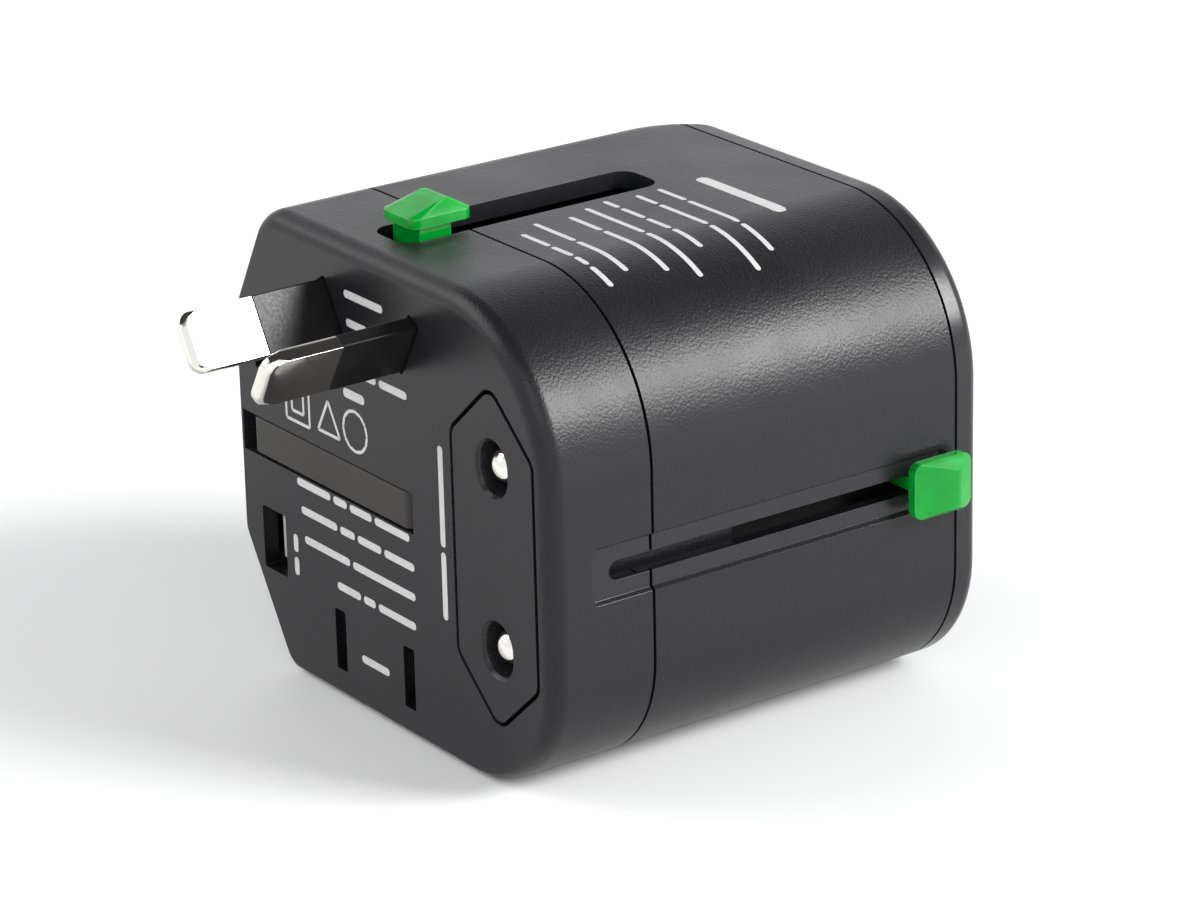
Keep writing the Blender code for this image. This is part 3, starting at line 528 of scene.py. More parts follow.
def make_metal(name, dark, light, rough_low, rough_high, lines, metallic=1.0):
    """Plated or rolled metal with fine drawing lines along Y."""
    material, nodes, links, shader = new_material(name)
    place = object_coordinates(nodes)
    stretch = nodes.new("ShaderNodeMapping")
    stretch.inputs["Scale"].default_value = (1.0, 0.04, 1.0)
    links.new(place, stretch.inputs["Vector"])
    drawn = noise(nodes, links, stretch.outputs["Vector"], 5200.0, 3.0, 0.6)
    cloud = noise(nodes, links, place, 260.0, 3.0, 0.6)
    links.new(two_colours(nodes, links, cloud, dark, light), shader.inputs["Base Color"])
    blend = arithmetic(nodes, links, "MULTIPLY", drawn, cloud)
    links.new(remap(nodes, links, blend, 0.12, 0.45, rough_low, rough_high), shader.inputs["Roughness"])
    bump(nodes, links, drawn, lines, 0.01, shader)
    shader.inputs["Metallic"].default_value = metallic
    return material


def make_ceramic():
    material, nodes, links, shader = new_material("fuse_ceramic")
    place = object_coordinates(nodes)
    speck = noise(nodes, links, place, 1900.0, 3.0, 0.7)
    links.new(two_colours(nodes, links, speck, (0.62, 0.60, 0.55), (0.80, 0.79, 0.75)),
              shader.inputs["Base Color"])
    links.new(remap(nodes, links, speck, 0.3, 0.7, 0.25, 0.45), shader.inputs["Roughness"])
    bump(nodes, links, speck, 0.2, 0.02, shader)
    return material


def make_ink():
    """White pad-printing ink, a little uneven."""
    material, nodes, links, shader = new_material("white_ink")
    place = object_coordinates(nodes)
    patch = noise(nodes, links, place, 2600.0, 3.0, 0.6)
    links.new(two_colours(nodes, links, patch, (0.40, 0.40, 0.40), (0.56, 0.56, 0.55)),
              shader.inputs["Base Color"])
    links.new(remap(nodes, links, patch, 0.3, 0.7, 0.45, 0.65), shader.inputs["Roughness"])
    bump(nodes, links, patch, 0.3, 0.01, shader)
    return material


CASING = make_textured_plastic("casing_textured", (0.0065, 0.0063, 0.0075), (0.0105, 0.0102, 0.0120),
                               0.55, 0.30, 0.38)
REAR = make_smooth_plastic("casing_rear", (0.012, 0.012, 0.013), (0.017, 0.017, 0.019), 0.20, 0.28)
SLOT_WALL = make_smooth_plastic("slot_wall", (0.011, 0.011, 0.012), (0.016, 0.016, 0.018),
                                0.24, 0.34, ripple=0.05)
# Painted shade: a darker, less glossy copy of the slot plastic for the deep pin and button slots, to paint
# in the shade inside them
SLOT_PAINTED_SHADE = make_smooth_plastic("slot_painted_shade", (0.004, 0.004, 0.005), (0.007, 0.007, 0.008),
                                0.28, 0.36, ripple=0.05, specular=0.16)
INNER = make_smooth_plastic("inner_plastic", (0.004, 0.004, 0.004), (0.007, 0.007, 0.007), 0.50, 0.65)
SLEEVE = make_smooth_plastic("sleeve_black", (0.006, 0.006, 0.006), (0.010, 0.010, 0.010), 0.28, 0.38)
EARTH_BLACK = make_textured_plastic("earth_pin_black", (0.019, 0.017, 0.016), (0.027, 0.025, 0.023),
                                    0.30, 0.36, 0.46)
GREEN = make_clear_green("green_polished", 0.06, 0.14, 0.05)
GREEN_FROST = make_clear_green("green_frosted", 0.32, 0.55, 0.9)
NICKEL = make_metal("nickel_plate", (0.70, 0.68, 0.63), (0.84, 0.82, 0.78), 0.05, 0.13, 0.12)
SATIN = make_metal("nickel_satin", (0.70, 0.66, 0.57), (0.82, 0.79, 0.71), 0.40, 0.55, 0.3,
                   metallic=0.3)
BRASS = make_metal("brass_strip", (0.60, 0.42, 0.17), (0.78, 0.58, 0.28), 0.22, 0.42, 0.4)
STEEL = make_metal("screw_steel", (0.36, 0.36, 0.37), (0.50, 0.50, 0.51), 0.24, 0.42, 0.3)
CERAMIC = make_ceramic()
INK = make_ink()


# ---------------------------------------------------------------- casing

def left_turn(depth):
    """How far the left-hand side has turned in towards the rear face at a depth."""
    past = max(depth - TURN_START, 0.0)
    return TURN_RADIUS - math.sqrt(TURN_RADIUS ** 2 - past ** 2)


def turn_rings(inset, end, steps):
    """Rings along the stretch where the left-hand side turns in, front to rear."""
    return [casing_ring(inset, TURN_START + (end - TURN_START) * k / steps) for k in range(steps + 1)]


def casing_ring(inset, depth, softness=0.0):
    """The casing's outline at a depth, moved inwards, each corner rounded about the same centre."""
    grown = min(max((depth - COVER_REAR) / (REAR_FRONT - COVER_REAR), 0.0), 1.0)
    count = len(CORNERS)
    places = [Vector((x + left_turn(depth) * (x < 0), z)) for x, z, *_ in CORNERS]
    insets = [inset + softness * share for share in EDGE_SOFTNESS]
    points = []
    for i, (_, _, front_radius, rear_radius, steps) in enumerate(CORNERS):
        inset_in, inset_out = insets[i], insets[(i + 1) % count]
        radius = front_radius + (rear_radius - front_radius) * grown
        arc = max(radius - (inset_in + inset_out) / 2, 0.5)
        into = (places[i] - places[i - 1]).normalized()
        out = (places[(i + 1) % count] - places[i]).normalized()
        normal_in = Vector((-into.y, into.x))
        normal_out = Vector((-out.y, out.x))
        cosine = normal_in.dot(normal_out)
        reach_in, reach_out = inset_in + arc, inset_out + arc
        centre = places[i] + normal_in * ((reach_in - reach_out * cosine) / (1 - cosine * cosine))
        centre += normal_out * ((reach_out - reach_in * cosine) / (1 - cosine * cosine))
        start = math.atan2(-normal_in.y, -normal_in.x)
        sweep = -normal_in.angle_signed(normal_out)
        for k in range(steps + 1):
            angle = start + sweep * k / steps
            points.append((centre.x + arc * math.cos(angle), y_at(depth),
                           centre.y + arc * math.sin(angle)))
    return points


def front_rings(steps):
    """Rings over the rounded front edge, which is softer at the right and the top."""
    rings = []
    for k in range(steps + 1):
        angle = math.radians(90.0 * k / steps)
        depth = FRONT_FILLET * (1 - math.cos(angle))
        rings.append(casing_ring(0.0, depth, FRONT_FILLET * (1 - math.sin(angle))))
    return rings


def rear_rings(steps):
    """Rings over the rounded rear edge, front to rear."""
    rings = []
    for k in range(steps + 1):
        angle = math.radians(90.0 * k / steps)
        depth = DEPTH - REAR_FILLET * (1 - math.sin(angle))
        rings.append(casing_ring(REAR_FILLET * (1 - math.cos(angle)), depth))
    return rings


def side_channel(side, d0, d1):
    """The shallow trough that a side button travels over, with sloping walls and round corners."""
    rings = []
    for height, half in ((-CHANNEL_DEPTH, CHANNEL_HALF - CHANNEL_SLOPE * CHANNEL_DEPTH),
                         (CLEAR, CHANNEL_HALF + CHANNEL_SLOPE)):
        grow = CHANNEL_SLOPE * (height + CHANNEL_DEPTH) * 0.3
        middle, half_length = (y_at(d0) + y_at(d1)) / 2, (d1 - d0) / 2 + grow
        outline = soft_rectangle(middle, SIDE_Z, half_length, half, 0.6)
        rings.append([(side * (HALF_WIDTH + height), y, z) for y, z in outline])
    return loft(rings)


def side_slot(side, d0, d1):
    """A side button's slot, with round ends."""
    outline = stadium(y_at(d0) + SIDE_SLOT_R, y_at(d1) - SIDE_SLOT_R, SIDE_Z, SIDE_SLOT_R)
    low, high = sorted((side * (HALF_WIDTH - SLOT_DEPTH), side * (HALF_WIDTH + CLEAR)))
    return prism(outline, "X", low, high)


def top_slot(d0, d1):
    """The top button's slot, a little wider at its mouth."""
    rings = []
    corner_radius, straight_depth, taper = 2.0, 1.7, 0.3
    for z, inset in ((HEIGHT - SLOT_DEPTH, taper), (HEIGHT - straight_depth, taper),
                     (HEIGHT + CLEAR, -taper / 2)):
        outline = soft_rectangle(TOP_X, y_at((d0 + d1) / 2), END_SLOT_HALF - inset,
                                 (d1 - d0) / 2 - inset, corner_radius - inset)
        rings.append([(x, y, z) for x, y in outline])
    return loft(rings)


def bottom_slot(d0, d1):
    outline = soft_rectangle(US_MIDDLE_X, y_at((d0 + d1) / 2), END_SLOT_HALF, (d1 - d0) / 2, radius=1.0)
    return prism(outline, "Z", -CLEAR, SLOT_DEPTH)


def hexagon(offset=0.0):
    """The europlug's flattened hexagon, grown by an offset on every side."""
    rise = EU_HALF_HEIGHT - EU_SHOULDER
    slope = math.hypot(rise, EU_HALF_WIDTH)
    half_width = EU_HALF_WIDTH + offset
    half_height = EU_HALF_HEIGHT + offset * slope / EU_HALF_WIDTH
    shoulder = half_height - half_width * rise / EU_HALF_WIDTH
    corners = ((1, -shoulder), (1, shoulder), (0, half_height), (-1, shoulder), (-1, -shoulder),
               (0, -half_height))
    placed = [(EU_X + side * half_width, EU_Z + z) for side, z in corners]
    return round_corners(placed, 1.6 + offset, 8)


def blade_prism(middle, half_thick, half_wide, angle, d0, d1, radius):
    outline = soft_rectangle(middle.x, middle.z, half_thick, half_wide, radius)
    return lean(y_prism(outline, d0, d1), middle, angle)


def au_leans():
    return zip(AU_MIDDLES, (AU_TILT, -AU_TILT))


def finish_casing(obj, node):
    tidy_mesh(obj)
    break_edges(obj)
    enlist(obj, node)


def add_earth_trough(cover):
    """The trough that the folded earth pin lies in, with a deeper pocket round its hinge."""
    half_height, half_slit = 3.55, (EARTH_HIGH.z - EARTH_LOW.z) / 2 + 0.2
    front, left, right, pocket_left = 1.0, -27.5, 7.05, -6.5
    floor, pocket_floor, floor_thick = 8.5, 9.3, 1.3
    for outer_left, outer_rear in ((left, floor), (pocket_left, pocket_floor)):
        join(cover, [box(outer_left, right, front, outer_rear + floor_thick,
                         EARTH_Z - half_height, EARTH_Z + half_height)], SLOT_WALL)
    start, mouth_end, inner_end = EARTH_LOW.x - 1.65, EARTH_HIGH.x + 0.67, EARTH_HIGH.x + 1.9
    pocket_start, mouth_depth, inner_front = -5.6, 1.1, 0.9
    for low_x, high_x, d0, d1 in ((start, mouth_end, -CLEAR, mouth_depth),
                                  (start, inner_end, inner_front, floor),
                                  (pocket_start, inner_end, inner_front, pocket_floor)):
        cut(cover, [box(low_x, high_x, d0, d1, EARTH_Z - half_slit, EARTH_Z + half_slit)], SLOT_WALL)
    hinge_hole = circle(HINGE.x, HINGE.y, HINGE_HOLE_R, 32)
    cut(cover, [prism(hinge_hole, "Z", EARTH_Z - 4.0, EARTH_Z + 4.0)], SLOT_WALL)


def make_front_cover():
    lap_front = COVER_REAR - FRONT_LAP
    rings = front_rings(10)
    rings += [casing_ring(0.0, COVER_REAR), casing_ring(SKIRT_THICK, COVER_REAR),
              casing_ring(SKIRT_THICK, lap_front), casing_ring(WALL, lap_front), casing_ring(WALL, WALL)]
    cover = add_object("front_cover_skin", loft(rings), CASING)
    add_earth_trough(cover)
    cut(cover, [y_prism(hexagon(EU_GROOVE), -CLEAR, WALL + CLEAR)], SLOT_WALL)
    for places, slot in ((US_BLADES, US_SLOT), (UK_PINS, UK_SLOT)):
        for place in places:
            # The pin slots take the darker slot material, a painted shade for their insides
            cut(cover, [y_prism(soft_rectangle(place.x, place.z, *slot), -CLEAR, SLOT_DEPTH)], SLOT_PAINTED_SHADE)
    for middle, angle in au_leans():
        cut(cover, [blade_prism(middle, AU_THICK / 2 + AU_CLEARANCE, AU_WIDE / 2 + AU_CLEARANCE, angle,
                                -CLEAR, SLOT_DEPTH, radius=0.3)], SLOT_WALL)
    cut(cover, [side_channel(1, *RIGHT_CHANNEL), bottom_slot(*BOTTOM_SLOT)], SLOT_WALL)
    # The button slots take the darker slot material, a painted shade for their insides
    cut(cover, [side_slot(1, *RIGHT_SLOT), top_slot(*TOP_SLOT)], SLOT_PAINTED_SHADE)
    finish_casing(cover, "front_cover")


def make_body_shell():
    lap_front, lap_rear = SHELL_FRONT - FRONT_LAP, SHELL_REAR - REAR_LAP
    turn_steps = 14
    rings = [casing_ring(0.0, SHELL_FRONT)] + turn_rings(0.0, SHELL_REAR, turn_steps)
    rings += [casing_ring(SKIRT_THICK, SHELL_REAR), casing_ring(SKIRT_THICK, lap_rear)]
    rings += reversed(turn_rings(WALL, lap_rear, turn_steps))
    rings += [casing_ring(WALL, lap_front), casing_ring(TONGUE_INSET, lap_front),
              casing_ring(TONGUE_INSET, SHELL_FRONT)]
    shell = add_object("body_shell_skin", loft(rings, closed=True), CASING)
    for place in SCREW_PLACES:
        join(shell, [y_prism(circle(place.x, place.z, BOSS_R, 32), BOSS_FRONT, BOSS_REAR)], SLOT_WALL)
    for place in SCREW_PLACES:
        thread = circle(place.x, place.z, THREAD_R, 24)
        cut(shell, [y_prism(thread, THREAD_FRONT, BOSS_REAR + CLEAR)], SLOT_WALL)
    cut(shell, [side_channel(1, *RIGHT_CHANNEL), side_channel(-1, *LEFT_CHANNEL),
                bottom_slot(*BOTTOM_SLOT)], SLOT_WALL)
    # The button slots take the darker slot material, a painted shade for their insides
    cut(shell, [side_slot(1, *RIGHT_SLOT), side_slot(-1, *LEFT_SLOT), top_slot(*TOP_SLOT)], SLOT_PAINTED_SHADE)
    finish_casing(shell, "body_shell")


def make_rear_cover():
    tongue_front = REAR_FRONT - REAR_TONGUE
    rings = [casing_ring(WALL, REAR_FRONT), casing_ring(WALL, tongue_front),
             casing_ring(TONGUE_INSET, tongue_front), casing_ring(TONGUE_INSET, REAR_FRONT),
             casing_ring(0.0, REAR_FRONT)]
    rings += rear_rings(8)
    cover = add_object("rear_cover_skin", loft(rings), REAR)

    through = (REAR_FRONT - OPENING_DEPTH, DEPTH + CLEAR)

    def opening(side, z, size):
        offset, half_x, half_z = size
        return y_prism(soft_rectangle(side * offset, z, half_x, half_z, OPENING_CORNER_R), *through)

    eu_offset, eu_radius = EU_OPENING
    au_offset, au_half_thick, au_half_wide = AU_OPENING
    for side in (-1, 1):
        au_middle = Vector((side * au_offset, 0.0, SOCKET_Z))
        cut(cover, [opening(side, SOCKET_Z, UK_OPENING),
                    y_prism(circle(side * eu_offset, SOCKET_Z, eu_radius, 40), *through),
                    opening(side, SOCKET_Z, US_OPENING),
                    blade_prism(au_middle, au_half_thick, au_half_wide, side * AU_TILT, *through,
                                OPENING_CORNER_R)], SLOT_WALL)
    cut(cover, [opening(1, SOCKET_EARTH_Z, EARTH_OPENING)], SLOT_WALL)
    for place in SCREW_PLACES:
        cut(cover, [y_prism(circle(place.x, place.z, SHANK_R, 24), *through),
                    y_prism(circle(place.x, place.z, HEAD_R, 40), DEPTH - HEAD_DEPTH, DEPTH + CLEAR)],
            SLOT_WALL)
    finish_casing(cover, "rear_cover")


# ---------------------------------------------------------------- plugs

def blade_points(middle, root):
    """A flat blade with a rounded end, its edges bevelled all the way round."""
    bevel_across, bevel_along, bevel_side, end_radius = 0.42, 0.9, 0.12, 1.6
    points = []
    for half_x, inset, narrow in ((AU_THICK / 2, bevel_along, bevel_side),
                                  (AU_THICK / 2 - bevel_across, 0.0, 0.0)):
        half_z = AU_WIDE / 2 - narrow
        tip, past_root = AU_TIP + inset, root + 2 * end_radius
        outline = round_corners([(tip, middle.z - half_z), (past_root, middle.z - half_z),
                                 (past_root, middle.z + half_z), (tip, middle.z + half_z)], end_radius, 10)
        for depth, z in outline:
            y = y_at(min(depth, root))
            points += [(middle.x - half_x, y, z), (middle.x + half_x, y, z)]
    return points


def make_au_blades():
    """Blades with a thin core inside their insulating sleeves."""
    core_half_x, core_half_z, core_rear, gap = 0.3, 2.6, 6.0, 0.1
    root = AU_SLEEVE_FRONT - gap
    for label, (middle, angle) in zip(("left", "right"), au_leans()):
        head = lean(hull(blade_points(middle, root)), middle, angle)
        blade = add_object(f"au_blade_{label}_metal", head, NICKEL)
        core = y_prism(rectangle(middle.x, middle.z, core_half_x, core_half_z), root - 0.5, core_rear)
        join(blade, [lean(core, middle, angle)])
        break_edges(blade, 0.1)
        enlist(blade, f"au_blade_{label}")

        outer = blade_prism(middle, AU_THICK / 2, AU_WIDE / 2, angle, AU_SLEEVE_FRONT, AU_SLEEVE_REAR, 0.18)
        sleeve = add_object(f"au_sleeve_{label}_moulding", outer, SLEEVE)
        bore = y_prism(rectangle(middle.x, middle.z, core_half_x + gap, core_half_z + gap),
                       AU_SLEEVE_FRONT - CLEAR, AU_SLEEVE_REAR + CLEAR)
        cut(sleeve, [lean(bore, middle, angle)])
        break_edges(sleeve, 0.06)
        enlist(sleeve, f"au_sleeve_{label}")


def make_eu_block():
    """The hexagonal block: hollow behind its front, with two ears that stop it and two pin holes."""
    length = node_depths("eu_plug_block")[1]
    block = add_object("eu_plug_block_moulding", y_prism(hexagon(), 0.0, length), CASING)
    ear_half, ear_reach, ear_thick = 2.3, EU_HALF_HEIGHT + 1.15, 2.5
    join(block, [box(EU_X - ear_half, EU_X + ear_half, length - ear_thick, length,
                     EU_Z - ear_reach, EU_Z + ear_reach)], SLOT_WALL)
    side_wall, front_wall = 1.2, 3.0
    cut(block, [y_prism(hexagon(-side_wall), front_wall, length + CLEAR)], SLOT_WALL)
    for z in EU_PINS:
        hole = swap(stadium(z - EU_HOLE_STRETCH, z + EU_HOLE_STRETCH, EU_X, EU_HOLE_R))
        cut(block, [y_prism(hole, -CLEAR, front_wall + CLEAR)], SLOT_WALL)
        rim = []
        for depth, radius in ((-0.2, EU_HOLE_R + 0.5), (0.45, EU_HOLE_R - 0.05)):
            outline = swap(stadium(z - EU_HOLE_STRETCH, z + EU_HOLE_STRETCH, EU_X, radius))
            rim.append([(x, y_at(depth), pz) for x, pz in outline])
        cut(block, [loft(rim)], SLOT_WALL)
    tidy_mesh(block)
    break_edges(block, 0.28)
    enlist(block, "eu_plug_block")


def make_eu_pins():
    """Nickel-plated pins with domed tips."""
    sleeve_front, tail, core = 10.7, 25.7, 1.3
    for label, z in zip(("upper", "lower"), EU_PINS):
        rings = []
        steps = 14
        for k in range(steps + 1):
            angle = math.radians(2.0 + 88.0 * k / steps)
            rings.append((EU_TIP + EU_PIN_R * (1 - math.cos(angle)), EU_PIN_R * math.sin(angle)))
        rings += [(sleeve_front, EU_PIN_R), (sleeve_front, core), (tail, core)]
        body = loft([[(x, y_at(depth), pz) for x, pz in circle(EU_X, z, radius)]
                     for depth, radius in rings])
        pin = add_object(f"eu_pin_{label}_metal", body, NICKEL)
        break_edges(pin, 0.05, segments=2, angle=50.0)
        enlist(pin, f"eu_pin_{label}")


def chamfered_bar(middle, half_x, half_z, tip, rear, chamfer_x, chamfer_z):
    """A rectangular bar between two depths, chamfered round its front end."""
    points = []
    for depth, share in ((tip, 1.0), (tip + chamfer_z, 0.0), (rear, 0.0)):
        for x, z in rectangle(middle.x, middle.z, half_x - chamfer_x * share, half_z - chamfer_z * share):
            points.append((x, y_at(depth), z))
    return hull(points)


def make_uk_pins():
    """Rectangular pins, their end faces satin, with a core inside the sleeve."""
    head_rear, chamfer, half_x = 10.3, 0.4, 2.0
    core_half_x, core_half_z = 1.0, 1.3
    for label, middle in zip(("line", "neutral"), UK_PINS):
        node = f"uk_pin_{label}"
        low, high = node_box(node)
        tip, tail = node_depths(node)
        body = chamfered_bar(middle, half_x, (high.z - low.z) / 2, tip, head_rear, chamfer, chamfer)
        body.normal_update()
        for face in body.faces:
            face.material_index = 1 if face.normal.y < -0.9 else 0
        pin = add_object(f"{node}_metal", body, NICKEL)
        pin.data.materials.append(SATIN)
        core = rectangle(middle.x, middle.z, core_half_x, core_half_z)
        join(pin, [y_prism(core, head_rear - CLEAR, tail)])
        break_edges(pin, 0.2)
        enlist(pin, node)


def make_us_blades():
    """Flat blades, with a narrower tail in their carrier."""
    head_rear, bevel = 20.3, 0.9
    core_half_x, core_half_z = 0.4, 2.2
    for label, middle in zip(("left", "right"), US_BLADES):
        node = f"us_blade_{label}"
        low, high = node_box(node)
        tip, tail = node_depths(node)
        body = chamfered_bar(middle, (high.x - low.x) / 2, (high.z - low.z) / 2, tip, head_rear,
                             bevel / 2, bevel)
        blade = add_object(f"{node}_metal", body, NICKEL)
        core = rectangle(middle.x, middle.z, core_half_x, core_half_z)
        join(blade, [y_prism(core, head_rear - CLEAR, tail)])
        break_edges(blade, 0.12)
        enlist(blade, node)


def make_earth_pin():
    corners = [(EARTH_LOW.x, EARTH_LOW.y), (EARTH_HIGH.x, EARTH_LOW.y), (EARTH_HIGH.x, EARTH_HIGH.y),
               (EARTH_LOW.x, EARTH_HIGH.y)]
    outline = round_corners(corners, 1.0, 10)
    pin = add_object("uk_earth_pin_moulding", prism(outline, "Z", EARTH_LOW.z, EARTH_HIGH.z), EARTH_BLACK)
    hinge_hole = circle(HINGE.x, HINGE.y, HINGE_HOLE_R, 32)
    cut(pin, [prism(hinge_hole, "Z", EARTH_LOW.z - CLEAR, EARTH_HIGH.z + CLEAR)])
    tidy_mesh(pin)
    break_edges(pin, 0.18)
    enlist(pin, "uk_earth_pin")


# ---------------------------------------------------------------- buttons

def make_button(name, node, place, stem, tongue):
    """A hipped green button with a polished front slope and frosted rear facets."""
    corner_radius = 1.1
    outline = round_corners([(0.0, -BUTTON_HALF), (BUTTON_LENGTH, -BUTTON_HALF),
                             (BUTTON_LENGTH, BUTTON_HALF), (0.0, BUTTON_HALF)], corner_radius, 8)
    points = [(u, v, BUTTON_BASE) for u, v in outline] + [(u, v, BUTTON_RIM) for u, v in outline]
    for v in (-RIDGE_HALF, RIDGE_HALF):
        points.append((RIDGE_AT, v, BUTTON_TOP))
        points.append((RIDGE_AT + RIDGE_FLAT, v, BUTTON_TOP))
    bm = hull(points)
    for face in bm.faces:
        centre = face.calc_center_median()
        slopes = 0.2 < abs(face.normal.z) < 0.97
        face.material_index = 1 if slopes and centre.z > BUTTON_RIM and face.normal.x > -0.2 else 0
    for vert in bm.verts:
        vert.co = place(vert.co)
    button = add_object(name, bm, GREEN)
    button.data.materials.append(GREEN_FROST)
    join(button, [stem, tongue])
    tidy_mesh(button)
    break_edges(button, 0.22, segments=4, angle=20.0)
    enlist(button, node)


def make_buttons():
    """Three buttons; each has a stem in its slot and a thinner tongue inside, towards its carrier."""
    au_low = node_box("au_slider_button")[0]
    eu_low = node_box("eu_slider_button")[0]
    uk_low, uk_high = node_box("uk_slider_button")
    stem_end = BUTTON_BASE + 0.3
    stem_half, tongue_half, tongue_inset = 0.7, 0.6, 0.9
    stem_z = (SIDE_Z - stem_half, SIDE_Z + stem_half)
    tongue_z = (SIDE_Z - tongue_half, SIDE_Z + tongue_half)

    make_button("au_button", "au_slider_button",
                lambda p: Vector((TOP_X + p.y, au_low.y + p.x, HEIGHT + p.z)),
                stem=box(-7.5, -2.6, 6.8, 10.6, 47.9, HEIGHT + stem_end),
                tongue=box(-6.9, -5.2, 7.8, 9.6, au_low.z, 48.2))
    eu_front, uk_front = 44.6, 33.5
    make_button("eu_button", "eu_slider_button",
                lambda p: Vector((HALF_WIDTH + p.z, eu_low.y + p.x, SIDE_Z + p.y)),
                stem=box(24.2, HALF_WIDTH + stem_end, eu_front, eu_front + 3.1, *stem_z),
                tongue=box(eu_low.x, 24.6, eu_front + tongue_inset, eu_front + 2.2, *tongue_z))
    make_button("uk_button", "uk_slider_button",
                lambda p: Vector((-HALF_WIDTH - p.z, uk_low.y + p.x, SIDE_Z + p.y)),
                stem=box(-HALF_WIDTH - stem_end, -24.5, uk_front, uk_front + 3.8, *stem_z),
                tongue=box(-24.9, uk_high.x, uk_front + tongue_inset, uk_front + 2.9, *tongue_z))


# ---------------------------------------------------------------- printing

def bar_body(start, end, thick, place):
    """A thin raised bar with round ends that follows the surface under it."""
    start, end = Vector(start), Vector(end)
    along = (end - start).normalized()
    across = Vector((-along.y, along.x))
    length = (end - start).length
    half = thick / 2
    stations = [half * (1 - math.cos(math.radians(a))) for a in (18, 36, 54, 72, 90)]
    count = max(int(length / 0.8), 1)
    stations = stations + [half + (length - thick) * k / count for k in range(1, count)]
    stations = stations + [length - s for s in reversed(stations[:5])]
    rings = []
    for s in stations:
        inside = min(s, length - s, half)
        wide = math.sqrt(max(half * half - (half - inside) ** 2, 0.0))
        middle = start + along * s
        low, high = middle - across * wide, middle + across * wide
        rings.append([place(low.x, low.y, 0.0), place(high.x, high.y, 0.0),
                      place(high.x, high.y, INK_THICK), place(low.x, low.y, INK_THICK)])
    return loft(rings)


def add_marks(name, bars, body_node, place):
    """Ink bars in place of the printed words."""
    marks = add_object(name, merge([bar_body(*bar, place) for bar in bars]), INK)
    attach(marks, BODY_OF[body_node])


def word_row(start, end, words, thick):
    """Splits a line of print into dashes with the given relative lengths."""
    start, end = Vector(start), Vector(end)
    along = (end - start).normalized()
    gap = 0.55
    share = ((end - start).length - gap * (len(words) - 1)) / sum(words)
    bars = []
    position = 0.0
    for word in words:
        bars.append((start + along * position, start + along * (position + word * share), thick))
        position += word * share + gap
    return bars


def outline_bars(points, thick):
    """The sides of a closed figure as bars."""
    return [(a, b, thick) for a, b in zip(points, points[1:] + points[:1])]


def over_top(a, b, height):
    """A point over the top face, which bends down into the right-hand corner."""
    radius = CORNERS[1][3]
    angle = max(a - (HALF_WIDTH - radius), 0.0) / radius
    reach = radius + height
    x = min(a, HALF_WIDTH - radius) + reach * math.sin(angle)
    return Vector((x, y_at(b), HEIGHT - radius + reach * math.cos(angle)))


def make_printing():
    """Rows of bars: start, end, relative lengths of the words and thickness of the stroke."""
    heading, sign, large, small, fine = 1.5, 1.0, 0.85, 0.6, 0.35
    front = []
    front += word_row((3.9, 22.0), (-17.0, 22.0), (5, 3.2, 2, 5), large)
    front += word_row((4.6, 19.0), (-16.4, 19.0), (4, 3.2, 2, 5), large)
    front += word_row((4.6, 15.8), (-16.0, 15.8), (8, 6), large)
    front += word_row((4.5, 12.6), (-10.0, 12.6), (5, 1.6, 3.2), large)
    front += word_row((10.0, 15.2), (10.0, 33.7), (5, 7.4), large)
    front += word_row((-17.8, 15.8), (-17.8, 11.2), (1, 1), large)
    front += word_row((-0.8, 5.8), (-5.9, 5.8), (1,), large)
    front += word_row((0.6, 45.2), (-6.4, 45.2), (1,), large)
    front += word_row((-2.4, 42.2), (-6.2, 42.2), (1,), large)
    front += word_row((4.4, 37.2), (-3.9, 37.2), (4, 2.2), large)
    front += [((-3.4, 34.5), (-7.3, 34.5), sign)]
    for half in (2.2, 1.1):
        front += outline_bars(rectangle(-16.2, 30.8, half, half), fine)
    front += outline_bars([(-12.4, 29.0), (-8.3, 29.0), (-10.35, 32.6)], fine)
    front += outline_bars(circle(-5.4, 30.7, 2.2, 12), fine)
    add_marks("plug_face_print", front, "front_cover", lambda a, b, h: Vector((a, FACE_Y - h, b)))

    top = []
    top += word_row((-0.7, 40.1), (13.4, 40.1), (1,), heading)
    top += word_row((-0.3, 34.6), (19.0, 34.6), (3, 5.4, 3.4), small)
    top += word_row((0.0, 31.6), (21.0, 31.6), (2.4, 5.4, 5.8), small)
    top += word_row((-0.5, 27.9), (16.0, 27.9), (1.6, 2.4, 2.4, 3), small)
    top += word_row((0.2, 25.1), (20.0, 25.1), (7.4, 7), small)
    top += word_row((1.5, 22.2), (18.2, 22.2), (4, 8), small)
    top += word_row((1.0, 18.2), (16.8, 18.2), (5, 6), small)
    top += word_row((3.0, 15.3), (18.4, 15.3), (3.6, 2.6, 1.6, 2.8), small)
    add_marks("top_face_print", top, "body_shell", over_top)


# ---------------------------------------------------------------- CAD nodes that stay

KEPT = {
    INNER: ("socket_block", "inner_frame", "au_carrier", "eu_pin_carrier", "us_carrier", "uk_carrier"),
    SLEEVE: ("eu_sleeve_upper", "eu_sleeve_lower", "uk_sleeve_line", "uk_sleeve_neutral"),
    GREEN: ("us_slider_button",),
    BRASS: ("live_busbar", "neutral_busbar", "live_contact", "neutral_contact", "fuse_clip_front",
            "fuse_clip_rear"),
    CERAMIC: ("fuse",),
    STEEL: ("case_screw_1", "case_screw_2", "case_screw_3", "case_screw_4", "uk_earth_hinge_pin"),
}


def coat_kept_nodes():
    for material, nodes in KEPT.items():
        for node in nodes:
            obj = frame["nodes"][node]
            for slot in obj.material_slots:
                slot.material = material
            add_bevel(obj, width=0.08, segments=2, angle=40.0)


# ---------------------------------------------------------------- studio

